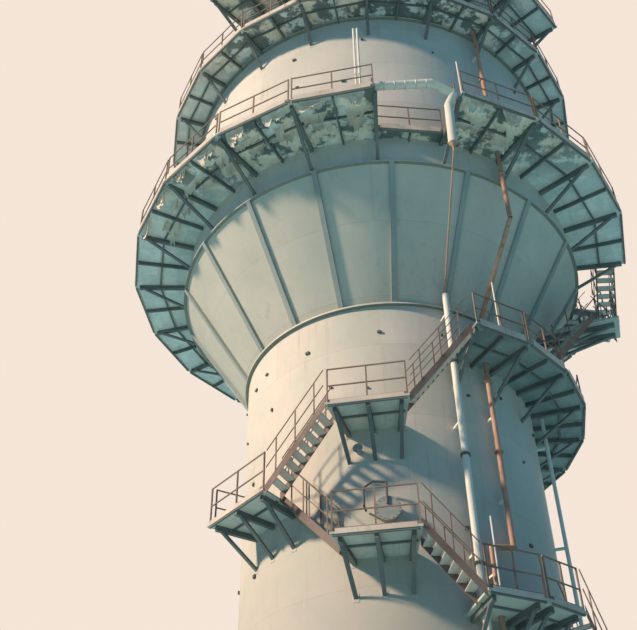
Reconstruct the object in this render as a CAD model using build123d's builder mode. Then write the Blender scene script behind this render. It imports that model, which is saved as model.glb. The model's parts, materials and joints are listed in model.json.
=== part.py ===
"""Wet electrostatic precipitator, a tall round vessel with galleries and zig-zag stairs.

The origin is the centre of the base at floor level, +Z is up and -Y faces the viewer.
All lengths are millimetres. Azimuth 0 faces -Y and grows towards +X.
"""
import math
import os

from build123d import *

os.makedirs("parts", exist_ok=True)

# vessel
fit_gap = 0.3
wall = 16
sole_thickness = 40
lower_radius = 4400
ring_reach = 110
ring_height = 60
lower_ring_radius = lower_radius + ring_reach
cone_base_level = 20620
cone_rise = 3630
cone_spread = 2250
cone_top_level = cone_base_level + cone_rise
upper_radius = lower_radius + cone_spread
upper_ring_radius = upper_radius + ring_reach
stiffener_rise = 7720
stiffener_level = cone_top_level + stiffener_rise
upper_shell_height = 10350
upper_shell_top = cone_top_level + upper_shell_height
roof_wall = 12
roof_rise = 1900
roof_top_level = upper_shell_top + roof_rise
outlet_radius = 2100
outlet_height = 1800
outlet_flange_width = 170
outlet_flange_height = 60
outlet_bolt_count = 32
outlet_bolt_radius = 15
outlet_bolt_circle = outlet_radius + 100
housing_side = 900
housing_distance = 4400
housing_rise = 2300

# anchor base
sole_radius = lower_radius + 400
anchor_count = 24
anchor_circle = lower_radius + 240
anchor_hole_radius = 24
gusset_height = 300
gusset_thickness = 16
anchor_ring_thickness = 30
anchor_ring_radius = lower_radius + 360
gusset_reach = anchor_ring_radius - gusset_thickness

# cone ribs
rib_count = 18
rib_first_azimuth = 5.5
rib_width = 150
rib_depth = 105

# galleries, one sector is a flat sided panel of the polygon
sector = 360 / 21
first_sector = 2
deck_thickness = 60
panel_gap = 10
main_width = 1950
recess_width = 450
upper_gallery_width = 1200
roof_gallery_width = 1800
walk_width = 1650
main_level = cone_top_level + 1250
main_radius = upper_radius + main_width
recess_radius = upper_radius + recess_width
upper_level = stiffener_level + ring_height + 120
upper_gallery_radius = upper_radius + upper_gallery_width
roof_gallery_level = upper_shell_top + deck_thickness
roof_gallery_radius = upper_radius + roof_gallery_width
roof_gallery_end = 62
roof_gallery_sectors = 6
walk_level = cone_base_level - 1720
walk_radius = lower_radius + walk_width
walk_start = 25
walk_sectors = 7

# brackets
beam_width = 100
beam_depth = 150
beam_setback = 180
brace_drop = 1100
brace_width = 90
brace_setback = 160
end_bracket_inset = 0.7

# rails
rail_height = 1100
post_width = 38
rail_width = 30
toe_height = 120
toe_width = 10
rail_inset = 60
rail_end_gap = 35

# zig-zag landings and flights
landing_width = 1400
landing_radius = lower_radius + landing_width
middle_drop = 2470
left_drop = 1930
lower_drop = 1730
right_drop = 1470
middle_level = walk_level - middle_drop
left_level = middle_level - left_drop
lower_level = left_level - lower_drop
right_level = lower_level - right_drop
left_start = -57
left_end = -33
middle_start = -15.5
middle_end = 6
lower_start = -15
lower_end = 6.5
right_start = 19.5
right_split = 35
right_end = 47
flight_width = 620
narrow_flight_width = 580
outer_lane = landing_radius - flight_width / 2 - 40
inner_lane = lower_radius + narrow_flight_width / 2 + 110
stringer_thickness = 12
stringer_above = 110
stringer_below = 170
tread_depth = 230
tread_thickness = 30
riser_height = 210
stair_rail_width = 26
stair_rail_gap = 25
stair_foot_gap = 20
descent_flights = 5
flight_sweep = 20
landing_sweep = 15
landing_brace_drop = 1000
landing_bracket_inset = 2

# hung stair
hung_inner_lane = upper_radius + flight_width / 2 + 220
hung_outer_lane = hung_inner_lane + flight_width + 80
hung_landing_radius = hung_outer_lane + flight_width / 2 + 110
hung_second_radius = hung_inner_lane + flight_width / 2 + 130
hung_foot_azimuth = 56
hung_foot_reach = 40
hung_first_drop = 1500
hung_second_drop = 2200
hung_first_level = main_level - hung_first_drop
hung_second_level = hung_first_level - hung_second_drop
hung_first_start = 96.5
hung_first_end = 104.5
hung_second_start = 75.5
hung_second_end = 83.5

# pipes
pipe_gap = 20
pipe_end_level = 640
clamp_width = 80
clamp_height = 60
downpipe_radius = 90
downpipe_azimuth = 23.5
downpipe_distance = lower_radius + 390
downpipe_top = cone_base_level + 280
drain_radius = 28
drain_reducer_length = 160
drain_elbow = 150
side_pipe_radius = 55
side_pipe_azimuth = 78.2
side_pipe_distance = lower_radius + 300
side_pipe_top = walk_level + 60
riser_radius = 70
riser_high_azimuth = 34.4
riser_low_azimuth = 37.8
riser_shift_azimuth = 29.5
riser_kink_level = cone_top_level - 1750
riser_foot_level = cone_base_level - 120
riser_shift_level = lower_level + 230
riser_high_distance = upper_radius + 300
riser_low_distance = lower_radius + 240
lagging_radius = 130
lagged_distance = main_radius - 300
lagged_start = 0.6
lagged_turn = 13.5
lagged_drop = 17
saddle_azimuth = 1.2
saddle_height = 170
saddle_length = 120
tall_pole_radius = 35
tall_pole_height = 3400
tall_pole_azimuths = (-1.7, -0.9)
short_pole_radius = 22
short_pole_height = 1900
short_pole_setback = 200
gallery_pole_azimuth = 20
walk_pole_azimuth = 33.4
landing_pole_azimuth = 23.5

# manway and nozzle
manway_azimuth = -1.6
manway_level = lower_level + 1080
manway_radius = 260
manway_reach = lower_radius + 240
manway_flange = manway_radius + 70
manway_flange_height = 40
davit_radius = 30
nozzle_azimuth = -10
nozzle_level = middle_level - 730
nozzle_radius = 80
nozzle_reach = lower_radius + 200
nozzle_flange_width = 50
nozzle_flange_height = 25


def at(azimuth, distance, level):
    """Return the point at an azimuth, a distance from the axis and a level."""
    angle = math.radians(azimuth)
    return Vector(distance * math.sin(angle), -distance * math.cos(angle), level)


def around(piece, azimuth):
    """Turn a piece made at azimuth 0 about the vessel axis."""
    return piece.rotate(Axis.Z, azimuth)


def copies(piece, azimuths):
    """Return copies of a piece turned to each azimuth."""
    return [around(piece, azimuth) for azimuth in azimuths]


def sector_edges(start, numbers):
    """Return the azimuths where the numbered sectors begin."""
    return [start + number * sector for number in numbers]


def sector_middles(start, numbers):
    """Return the azimuths of the middles of the numbered sectors."""
    return [start + (number + 0.5) * sector for number in numbers]


def radial_plane():
    """Return the upright plane at azimuth 0, its x outward and its y up."""
    return Plane(origin=(0, 0, 0), x_dir=(0, -1, 0), z_dir=(-1, 0, 0))


def save(builder, name):
    """Label a finished piece and write its STEP file."""
    builder.part.label = name
    export_step(builder.part, "parts/" + name + ".step")


def ring_of_profile(points):
    """Turn a closed outline of radius and level points about the axis."""
    with BuildPart() as body:
        with BuildSketch(Plane.XZ):
            with BuildLine():
                Polyline(*points, close=True)
            make_face()
        revolve(axis=Axis.Z)
    return body.part


def vessel_radius(level):
    """Return the outside radius of the shells at a level."""
    share = (level - cone_base_level) / (cone_top_level - cone_base_level)
    share = min(max(share, 0), 1)
    return lower_radius + share * (upper_radius - lower_radius)


def vessel_envelope():
    """Return the vessel's outside as a solid, a fit gap larger all round."""
    near = fit_gap
    outline = [
        (0, -sole_radius),
        (lower_radius + near, -sole_radius),
        (lower_radius + near, cone_base_level - near),
        (lower_ring_radius + near, cone_base_level - near),
        (lower_ring_radius + near, cone_base_level + ring_height + near),
        (lower_radius + 2 * near, cone_base_level + ring_height + near),
        (upper_radius + near, cone_top_level - near),
        (upper_ring_radius + near, cone_top_level - near),
        (upper_ring_radius + near, cone_top_level + ring_height + near),
        (upper_radius + near, cone_top_level + ring_height + near),
        (upper_radius + near, stiffener_level - near),
        (upper_ring_radius + near, stiffener_level - near),
        (upper_ring_radius + near, stiffener_level + ring_height + near),
        (upper_radius + near, stiffener_level + ring_height + near),
        (upper_radius + near, upper_shell_top + near),
        (outlet_radius + near, roof_top_level + near),
        (outlet_radius + near, roof_top_level + outlet_height),
        (0, roof_top_level + outlet_height),
    ]
    return ring_of_profile(outline)


envelope = vessel_envelope()


def sector_prism(low, high, gap):
    """Return a tall wedge between two azimuths, a gap clear of both."""
    reach = 2 * main_radius
    start = math.radians(low)
    end = math.radians(high)
    corner = at((low + high) / 2, gap / math.sin((end - start) / 2), 0)
    first = (corner.X + reach * math.sin(start), corner.Y - reach * math.cos(start))
    last = (corner.X + reach * math.sin(end), corner.Y - reach * math.cos(end))
    with BuildPart() as wedge:
        with BuildSketch(Plane.XY):
            with BuildLine():
                Polyline((corner.X, corner.Y), first, last, close=True)
            make_face()
        extrude(amount=2 * upper_shell_top)
    return wedge.part


def deck_panel(sweep, outer, level):
    """Return one flat deck panel at azimuth 0, its inner edge cut to the vessel."""
    half = math.radians(sweep / 2)
    far = outer * math.cos(half)
    near = lower_radius / 2
    gap = panel_gap / 2 / math.cos(half)
    with BuildPart() as panel:
        with BuildSketch(Plane.XY.offset(level - deck_thickness)):
            with BuildLine():
                Polyline(
                    (-near * math.tan(half) + gap, -near),
                    (-far * math.tan(half) + gap, -far),
                    (far * math.tan(half) - gap, -far),
                    (near * math.tan(half) - gap, -near),
                    close=True,
                )
            make_face()
        extrude(amount=deck_thickness)
        add(envelope, mode=Mode.SUBTRACT)
    return panel.part


def bracket(reach, top, drop):
    """Return a radial beam with a knee brace at azimuth 0, cut to the vessel."""
    near = lower_radius / 2
    foot = vessel_radius(top - drop)
    run = reach - brace_setback - foot
    slope = (drop - beam_depth) / run
    with BuildPart() as body:
        with BuildSketch(radial_plane()):
            with BuildLine():
                Polyline(
                    (near, top),
                    (reach, top),
                    (reach, top - beam_depth),
                    (near, top - beam_depth),
                    close=True,
                )
            make_face()
            with BuildLine():
                Polyline(
                    (reach - brace_setback, top - beam_depth / 2),
                    (reach - brace_setback, top - beam_depth),
                    (near, top - beam_depth - slope * (reach - brace_setback - near)),
                    (near, top - beam_depth / 2 - slope * (reach - brace_setback - near)),
                    close=True,
                )
            make_face()
        extrude(amount=beam_width / 2, both=True)
        add(envelope, mode=Mode.SUBTRACT)
    return body.part


def beam(reach, top):
    """Return a plain radial beam at azimuth 0, cut to the vessel."""
    with BuildPart() as body:
        with Locations((0, -reach / 2, top - beam_depth / 2)):
            Box(beam_width / 2, reach, beam_depth)
        add(envelope, mode=Mode.SUBTRACT)
    return body.part


def rail_panel(length, distance, level, posts, toe):
    """Return one guard rail panel that stands across azimuth 0."""
    with BuildPart() as panel:
        with Locations((0, -distance, level + rail_height - rail_width / 2)):
            Box(length, rail_width, rail_width)
        with Locations((0, -distance, level + rail_height / 2)):
            Box(length, rail_width, rail_width)
        if toe:
            with Locations((0, -distance, level + toe_height / 2)):
                Box(length, toe_width, toe_height)
        with Locations((0, -distance, level + rail_height / 2)):
            with GridLocations((length - post_width) / (posts - 1), 1, posts, 1):
                Box(post_width, post_width, rail_height)
    return panel.part


def edge_rail(sweep, outer, level):
    """Return the guard rail along the outer edge of one deck panel."""
    half = math.radians(sweep / 2)
    distance = outer * math.cos(half) - rail_inset
    length = 2 * distance * math.tan(half) - 2 * rail_end_gap
    return rail_panel(length, distance, level, 3, True)


def end_rail(azimuth, inner, outer, level, side):
    """Return a guard rail along the radial end of a deck, on its inner side."""
    length = outer - inner
    panel = rail_panel(length, side * rail_inset, level, 2, False)
    turned = panel.rotate(Axis.Z, 90)
    middle = (outer + inner) / 2
    moved = turned.translate((0, -middle, 0))
    return around(moved, azimuth)


def pipe_run(points, radius):
    """Return a round pipe swept through the given points with rounded turns."""
    with BuildPart() as run:
        with BuildLine():
            Polyline(*points)
        with BuildSketch(Plane(origin=points[0], z_dir=points[1] - points[0])):
            Circle(radius)
        sweep(transition=Transition.ROUND)
    return run.part


def pole(azimuth, distance, level, radius, height):
    """Return a round pole that stands on a deck."""
    with BuildPart() as post:
        with Locations(at(azimuth, distance, level)):
            Cylinder(radius, height, align=(Align.CENTER, Align.CENTER, Align.MIN))
    return post.part


def pipe_clamp(azimuth, distance, level, radius):
    """Return a short arm from the vessel that cradles an upright pipe."""
    with BuildPart() as arm:
        with Locations((0, -distance / 2, level)):
            Box(clamp_width, distance, clamp_height)
        add(envelope, mode=Mode.SUBTRACT)
        with Locations((0, -distance, level)):
            Cylinder(radius + fit_gap, 2 * clamp_height, mode=Mode.SUBTRACT)
    return around(arm.part, azimuth)


def flight_frame(low, high):
    """Return the upright plane of a flight with its run, rise and step count."""
    across = Vector(high.X - low.X, high.Y - low.Y, 0)
    run = across.length
    along = across.normalized()
    plane = Plane(origin=low, x_dir=along, z_dir=(along.Y, -along.X, 0))
    rise = high.Z - low.Z
    steps = round(rise / riser_height)
    return plane, run, rise, steps


def sloping_bar(run, rise, bottom, top, past):
    """Draw a bar that follows the pitch line, between two heights over it."""
    slope = rise / run
    Polygon(
        (-past, bottom - past * slope),
        (run + past, bottom + (run + past) * slope),
        (run + past, top + (run + past) * slope),
        (-past, top - past * slope),
        align=None,
    )


def flight_stringers(low, high, width, trim):
    """Return the two side plates of a flight, trimmed to its landings."""
    plane, run, rise, steps = flight_frame(low, high)
    plates = []
    for offset in (-width / 2, width / 2 - stringer_thickness):
        with BuildPart() as plate:
            with BuildSketch(plane.offset(offset)):
                sloping_bar(run, rise, -stringer_below, stringer_above, width / 4)
            extrude(amount=stringer_thickness)
            add(trim, mode=Mode.INTERSECT)
        plates.append(plate.part)
    return plates


def flight_treads(low, high, width, trim):
    """Return the treads of a flight as separate plates, trimmed to its landings."""
    plane, run, rise, steps = flight_frame(low, high)
    inside = width - 2 * stringer_thickness
    places = []
    for step in range(1, steps):
        places.append((step * run / steps, step * rise / steps - tread_thickness / 2))
    with BuildPart() as treads:
        with BuildSketch(plane.offset(-inside / 2)):
            with Locations(*places):
                Rectangle(tread_depth, tread_thickness)
        extrude(amount=inside)
        add(trim, mode=Mode.INTERSECT)
    return treads.part


def flight_rails(low, high, width, trim):
    """Return the two sloping guard rails that stand on the side plates."""
    plane, run, rise, steps = flight_frame(low, high)
    slope = rise / run
    middle = stringer_above + (rail_height - stringer_above) / 2
    rails = []
    inner_faces = (width / 2 - stringer_thickness, -width / 2 + stringer_thickness)
    for side, offset in zip((1, -1), inner_faces):
        with BuildPart() as rail:
            with BuildSketch(plane.offset(offset)):
                sloping_bar(run, rise, rail_height - rail_width, rail_height, 0)
                sloping_bar(run, rise, middle - rail_width, middle, 0)
                for place in (run / 6, run / 2, run * 5 / 6):
                    left = place - rail_width / 2
                    right = place + rail_width / 2
                    Polygon(
                        (left, stringer_above + left * slope),
                        (right, stringer_above + right * slope),
                        (right, rail_height + right * slope - rail_width / 2),
                        (left, rail_height + left * slope - rail_width / 2),
                        align=None,
                    )
            extrude(amount=side * stair_rail_width)
            add(trim, mode=Mode.INTERSECT)
        rails.append(rail.part)
    return rails


def above(level):
    """Return a large block that starts at a level."""
    with BuildPart() as block:
        with BuildSketch(Plane.XY.offset(level)):
            Circle(2 * main_radius)
        extrude(amount=upper_shell_top)
    return block.part


# anchor base
with BuildPart() as bottom_plate:
    with BuildSketch(Plane.XY):
        Circle(sole_radius)
        with PolarLocations(anchor_circle, anchor_count):
            Circle(anchor_hole_radius, mode=Mode.SUBTRACT)
    extrude(amount=sole_thickness)
save(bottom_plate, "bottom_plate")

with BuildPart() as base_gussets:
    with BuildSketch(Plane.XY.offset(sole_thickness)):
        with PolarLocations(0, anchor_count, 180 / anchor_count):
            with Locations(((gusset_reach + lower_radius) / 2, 0)):
                Rectangle(gusset_reach - lower_radius - 2 * fit_gap, gusset_thickness)
    extrude(amount=gusset_height)
save(base_gussets, "base_gussets")

with BuildPart() as base_ring:
    with BuildSketch(Plane.XY.offset(sole_thickness + gusset_height)):
        Circle(anchor_ring_radius)
        Circle(lower_radius + fit_gap, mode=Mode.SUBTRACT)
        with PolarLocations(anchor_circle, anchor_count):
            Circle(anchor_hole_radius, mode=Mode.SUBTRACT)
    extrude(amount=anchor_ring_thickness)
save(base_ring, "base_ring")

# vessel shells and rings, seated flat on each other
with BuildPart() as lower_shell:
    with BuildSketch(Plane.XY.offset(sole_thickness)):
        Circle(lower_radius)
        Circle(lower_radius - wall, mode=Mode.SUBTRACT)
    extrude(amount=cone_base_level - sole_thickness)
save(lower_shell, "lower_shell")

with BuildPart() as cone_base_ring:
    with BuildSketch(Plane.XY.offset(cone_base_level)):
        Circle(lower_ring_radius)
        Circle(lower_radius - wall, mode=Mode.SUBTRACT)
    extrude(amount=ring_height)
save(cone_base_ring, "cone_base_ring")

cone_foot = cone_base_level + ring_height
with BuildPart() as cone_shell:
    with BuildSketch(Plane.XZ):
        with BuildLine():
            Polyline(
                (lower_radius - wall, cone_foot),
                (lower_radius, cone_foot),
                (upper_radius, cone_top_level),
                (upper_radius - wall, cone_top_level),
                close=True,
            )
        make_face()
    revolve(axis=Axis.Z)
save(cone_shell, "cone_shell")

with BuildPart() as cone_top_ring:
    with BuildSketch(Plane.XY.offset(cone_top_level)):
        Circle(upper_ring_radius)
        Circle(upper_radius - wall, mode=Mode.SUBTRACT)
    extrude(amount=ring_height)
save(cone_top_ring, "cone_top_ring")

with BuildPart() as upper_shell:
    with BuildSketch(Plane.XY.offset(cone_top_level + ring_height)):
        Circle(upper_radius)
        Circle(upper_radius - wall, mode=Mode.SUBTRACT)
    extrude(amount=upper_shell_top - cone_top_level - ring_height)
save(upper_shell, "upper_shell")

with BuildPart() as upper_ring:
    with BuildSketch(Plane.XY.offset(stiffener_level)):
        Circle(upper_ring_radius)
        Circle(upper_radius + fit_gap, mode=Mode.SUBTRACT)
    extrude(amount=ring_height)
save(upper_ring, "upper_ring")

# straight ribs that follow the cone between its two rings
with BuildPart() as one_rib:
    with BuildSketch(radial_plane()):
        with BuildLine():
            Polyline(
                (lower_radius - rib_depth, cone_foot),
                (lower_radius + rib_depth, cone_foot),
                (upper_radius + rib_depth, cone_top_level),
                (upper_radius - rib_depth, cone_top_level),
                close=True,
            )
        make_face()
    extrude(amount=rib_width / 2, both=True)
    add(envelope, mode=Mode.SUBTRACT)

rib_azimuths = [rib_first_azimuth + number * 360 / rib_count for number in range(rib_count)]
with BuildPart() as cone_ribs:
    add(copies(one_rib.part, rib_azimuths))
save(cone_ribs, "cone_ribs")

# roof and gas outlet
with BuildPart() as roof_cone:
    with BuildSketch(Plane.XZ):
        with BuildLine():
            Polyline(
                (upper_radius - wall, upper_shell_top),
                (upper_radius, upper_shell_top),
                (outlet_radius, roof_top_level),
                (outlet_radius - roof_wall, roof_top_level),
                close=True,
            )
        make_face()
    revolve(axis=Axis.Z)
save(roof_cone, "roof_cone")

outlet_top = roof_top_level + outlet_height
with BuildPart() as outlet_stub:
    with BuildSketch(Plane.XY.offset(roof_top_level)):
        Circle(outlet_radius)
        Circle(outlet_radius - roof_wall, mode=Mode.SUBTRACT)
    extrude(amount=outlet_height - outlet_flange_height)
    with BuildSketch(Plane.XY.offset(outlet_top - outlet_flange_height)):
        Circle(outlet_radius + outlet_flange_width)
        Circle(outlet_radius - roof_wall, mode=Mode.SUBTRACT)
        with PolarLocations(outlet_bolt_circle, outlet_bolt_count):
            Circle(outlet_bolt_radius, mode=Mode.SUBTRACT)
    extrude(amount=outlet_flange_height)
save(outlet_stub, "outlet_stub")

with BuildPart() as insulator_housings:
    with BuildSketch(Plane.XY.offset(upper_shell_top)):
        with PolarLocations(housing_distance, 4, 45):
            Rectangle(housing_side, housing_side)
    extrude(amount=housing_rise)
    add(envelope, mode=Mode.SUBTRACT)
save(insulator_housings, "insulator_housings")


# pipes, made first because the decks are cut round them
def riser_points():
    """Return the turning points of the rusty riser, from the top down."""
    return [
        at(riser_high_azimuth, riser_high_distance, upper_level + rail_height),
        at(riser_high_azimuth, riser_high_distance, riser_kink_level),
        at(riser_low_azimuth, riser_low_distance + 2 * riser_radius, riser_foot_level),
        at(riser_low_azimuth, riser_low_distance, riser_foot_level - rail_height),
        at(riser_low_azimuth, riser_low_distance, riser_shift_level + 2 * riser_radius),
        at(riser_shift_azimuth, riser_low_distance, riser_shift_level),
        at(riser_shift_azimuth, riser_low_distance, pipe_end_level),
    ]


downpipe_points = [
    at(downpipe_azimuth, downpipe_distance, downpipe_top),
    at(downpipe_azimuth, downpipe_distance, pipe_end_level),
]
side_pipe_points = [
    at(side_pipe_azimuth, side_pipe_distance, side_pipe_top),
    at(side_pipe_azimuth, side_pipe_distance, pipe_end_level),
]
with BuildPart() as white_downpipe:
    add(pipe_run(downpipe_points, downpipe_radius))
    add(pipe_run(side_pipe_points, side_pipe_radius))
save(white_downpipe, "white_downpipe")

with BuildPart() as rust_riser:
    add(pipe_run(riser_points(), riser_radius))
save(rust_riser, "rust_riser")

pipe_clearance = [
    pipe_run(downpipe_points, downpipe_radius + pipe_gap),
    pipe_run(side_pipe_points, side_pipe_radius + pipe_gap),
    pipe_run(riser_points(), riser_radius + pipe_gap),
]


def clamp_column(azimuth, distance, radius, low, high, count):
    """Return a column of pipe clamps at even levels between two levels."""
    step = (high - low) / (count - 1)
    return [pipe_clamp(azimuth, distance, low + number * step, radius) for number in range(count)]


clamp_low = pipe_end_level + 900
clamps = clamp_column(
    downpipe_azimuth, downpipe_distance, downpipe_radius, clamp_low, downpipe_top - 700, 6
)
clamps += clamp_column(
    side_pipe_azimuth, side_pipe_distance, side_pipe_radius, clamp_low, walk_level - 1200, 6
)
clamps += clamp_column(
    riser_high_azimuth, riser_high_distance, riser_radius, main_level + 1600, upper_level - 1500, 2
)
clamps += clamp_column(
    riser_low_azimuth, riser_low_distance, riser_radius, riser_shift_level + 1500, walk_level - 1900, 2
)
clamps += clamp_column(
    riser_shift_azimuth, riser_low_distance, riser_radius, clamp_low, riser_shift_level - 700, 4
)
with BuildPart() as pipe_clamps:
    add(clamps)
save(pipe_clamps, "pipe_clamps")

lagged_level = main_level + saddle_height + lagging_radius
lagged_points = [
    at(lagged_start, lagged_distance, lagged_level),
    at(lagged_turn, lagged_distance + 100, lagged_level + 100),
    at(lagged_drop + 1, lagged_distance + 50, lagged_level - 200),
    at(lagged_drop, lagged_distance - 100, lagged_level - 600),
    at(lagged_drop, lagged_distance - 200, lagged_level - 2200),
]
with BuildPart() as lagged_pipe:
    add(pipe_run(lagged_points, lagging_radius))
save(lagged_pipe, "lagged_pipe")

# a small drain from the lagged pipe to the head of the downpipe
drain_way = (lagged_points[-1] - lagged_points[-2]).normalized()
drain_head = lagged_points[-1] + drain_way * fit_gap
reducer_end = drain_head + drain_way * drain_reducer_length
drain_points = [
    reducer_end,
    reducer_end + drain_way * drain_elbow,
    at(downpipe_azimuth, downpipe_distance, downpipe_top + drain_elbow),
    at(downpipe_azimuth, downpipe_distance, downpipe_top + fit_gap),
]
with BuildPart() as drain_line:
    with BuildSketch(Plane(origin=drain_head, z_dir=drain_way)):
        Circle(lagging_radius)
    with BuildSketch(Plane(origin=reducer_end, z_dir=drain_way)):
        Circle(drain_radius)
    loft()
    add(pipe_run(drain_points, drain_radius))
save(drain_line, "drain_line")

lagged_line = lagged_points[1] - lagged_points[0]
lagged_clear = pipe_run(lagged_points, lagging_radius + fit_gap)
saddle_point = at(saddle_azimuth, lagged_distance, main_level)
saddle_angle = math.degrees(math.atan2(lagged_line.Y, lagged_line.X))
with BuildPart() as lagging_saddle:
    with Locations(Location((saddle_point.X, saddle_point.Y, main_level), (0, 0, saddle_angle))):
        Box(
            saddle_length,
            2 * lagging_radius,
            saddle_height + lagging_radius,
            align=(Align.CENTER, Align.CENTER, Align.MIN),
        )
    add(lagged_clear, mode=Mode.SUBTRACT)
save(lagging_saddle, "lagging_saddle")

walk_pole_distance = walk_radius - short_pole_setback
landing_pole_distance = landing_radius - short_pole_setback
with BuildPart() as light_poles:
    for azimuth in tall_pole_azimuths:
        add(pole(azimuth, lagged_distance, main_level, tall_pole_radius, tall_pole_height))
    for azimuth, distance, level in (
        (gallery_pole_azimuth, lagged_distance, main_level),
        (walk_pole_azimuth, walk_pole_distance, walk_level),
        (landing_pole_azimuth, landing_pole_distance, right_level),
    ):
        add(pole(azimuth, distance, level, short_pole_radius, short_pole_height))
save(light_poles, "light_poles")


# main gallery, with a narrow recess and an open sector at the hung stair
ring_sectors = range(round(360 / sector))
recess_sector = 0
open_sector = 5
main_sectors = [number for number in ring_sectors if number not in (recess_sector, open_sector)]
main_middles = sector_middles(first_sector, main_sectors)
recess_middle = sector_middles(first_sector, [recess_sector])
open_start = first_sector + open_sector * sector
open_end = open_start + sector
main_beam_top = main_level - deck_thickness
main_panel = deck_panel(sector, main_radius, main_level)
recess_panel = deck_panel(sector, recess_radius, main_level)
with BuildPart() as main_gallery_deck:
    add(copies(main_panel, main_middles) + copies(recess_panel, recess_middle))
    add(pipe_clearance, mode=Mode.SUBTRACT)
save(main_gallery_deck, "main_gallery_deck")

main_bracket = bracket(main_radius - beam_setback, main_beam_top, brace_drop)
main_beam = beam(main_radius - beam_setback, main_beam_top)
recess_beam = beam(recess_radius - beam_setback, main_beam_top)
main_edges = sector_edges(first_sector, ring_sectors)
main_edges[open_sector] = open_start - end_bracket_inset
main_edges[open_sector + 1] = open_end + end_bracket_inset
with BuildPart() as main_gallery_brackets:
    add(copies(main_bracket, main_edges))
    add(copies(main_beam, main_middles) + copies(recess_beam, recess_middle))
save(main_gallery_brackets, "main_gallery_brackets")

main_rail = edge_rail(sector, main_radius, main_level)
recess_rail = edge_rail(sector, recess_radius, main_level)
recess_end_outer = lagged_distance - 2 * lagging_radius
with BuildPart() as main_gallery_rail:
    add(copies(main_rail, main_middles) + copies(recess_rail, recess_middle))
    add(end_rail(first_sector, recess_radius, recess_end_outer, main_level, -1))
    add(end_rail(first_sector + sector, recess_radius, recess_end_outer, main_level, 1))
save(main_gallery_rail, "main_gallery_rail")

# upper gallery, a full ring
upper_middles = sector_middles(first_sector, ring_sectors)
upper_edges = sector_edges(first_sector, ring_sectors)
upper_beam_top = upper_level - deck_thickness
upper_panel = deck_panel(sector, upper_gallery_radius, upper_level)
upper_bracket = bracket(upper_gallery_radius - beam_setback, upper_beam_top, brace_drop)
upper_beam = beam(upper_gallery_radius - beam_setback, upper_beam_top)
upper_rail = edge_rail(sector, upper_gallery_radius, upper_level)
with BuildPart() as upper_gallery_deck:
    add(copies(upper_panel, upper_middles))
    add(pipe_clearance, mode=Mode.SUBTRACT)
save(upper_gallery_deck, "upper_gallery_deck")

with BuildPart() as upper_gallery_brackets:
    add(copies(upper_bracket, upper_edges) + copies(upper_beam, upper_middles))
save(upper_gallery_brackets, "upper_gallery_brackets")

with BuildPart() as upper_gallery_rail:
    add(copies(upper_rail, upper_middles))
save(upper_gallery_rail, "upper_gallery_rail")

# roof gallery over part of the front
roof_numbers = range(roof_gallery_sectors)
roof_start = roof_gallery_end - roof_gallery_sectors * sector
roof_middles = sector_middles(roof_start, roof_numbers)
roof_edges = sector_edges(roof_start, roof_numbers)
roof_edges[0] = roof_start + end_bracket_inset
roof_edges.append(roof_gallery_end - end_bracket_inset)
roof_panel = deck_panel(sector, roof_gallery_radius, roof_gallery_level)
roof_bracket = bracket(roof_gallery_radius - beam_setback, upper_shell_top, brace_drop)
roof_beam = beam(roof_gallery_radius - beam_setback, upper_shell_top)
roof_rail = edge_rail(sector, roof_gallery_radius, roof_gallery_level)
roof_end_inner = upper_radius + 4 * post_width
roof_end_outer = roof_gallery_radius - 3 * rail_inset
with BuildPart() as roof_gallery_deck:
    add(copies(roof_panel, roof_middles))
save(roof_gallery_deck, "roof_gallery_deck")

with BuildPart() as roof_gallery_brackets:
    add(copies(roof_bracket, roof_edges) + copies(roof_beam, roof_middles))
save(roof_gallery_brackets, "roof_gallery_brackets")

with BuildPart() as roof_gallery_rail:
    add(copies(roof_rail, roof_middles))
    add(end_rail(roof_start, roof_end_inner, roof_end_outer, roof_gallery_level, 1))
    add(end_rail(roof_gallery_end, roof_end_inner, roof_end_outer, roof_gallery_level, -1))
save(roof_gallery_rail, "roof_gallery_rail")

# ring walk below the cone, open in the rail where the hung stair lands
walk_numbers = range(walk_sectors)
hung_landing_sector = 2
railed_numbers = [number for number in walk_numbers if number != hung_landing_sector]
walk_end = walk_start + walk_sectors * sector
walk_middles = sector_middles(walk_start, walk_numbers)
walk_edges = sector_edges(walk_start, walk_numbers)
walk_edges[0] = walk_start + end_bracket_inset
walk_edges.append(walk_end - end_bracket_inset)
walk_beam_top = walk_level - deck_thickness
walk_panel = deck_panel(sector, walk_radius, walk_level)
walk_bracket = bracket(walk_radius - beam_setback, walk_beam_top, brace_drop)
walk_beam = beam(walk_radius - beam_setback, walk_beam_top)
walk_rail = edge_rail(sector, walk_radius, walk_level)
walk_rail_inner = lower_radius + 4 * post_width
walk_rail_outer = walk_radius - 3 * rail_inset
with BuildPart() as ring_walk_deck:
    add(copies(walk_panel, walk_middles))
    add(pipe_clearance, mode=Mode.SUBTRACT)
save(ring_walk_deck, "ring_walk_deck")

with BuildPart() as ring_walk_brackets:
    add(copies(walk_bracket, walk_edges) + copies(walk_beam, walk_middles))
save(ring_walk_brackets, "ring_walk_brackets")

with BuildPart() as ring_walk_rail:
    add(copies(walk_rail, sector_middles(walk_start, railed_numbers)))
    add(end_rail(walk_end, walk_rail_inner, walk_rail_outer, walk_level, -1))
save(ring_walk_rail, "ring_walk_rail")


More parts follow.
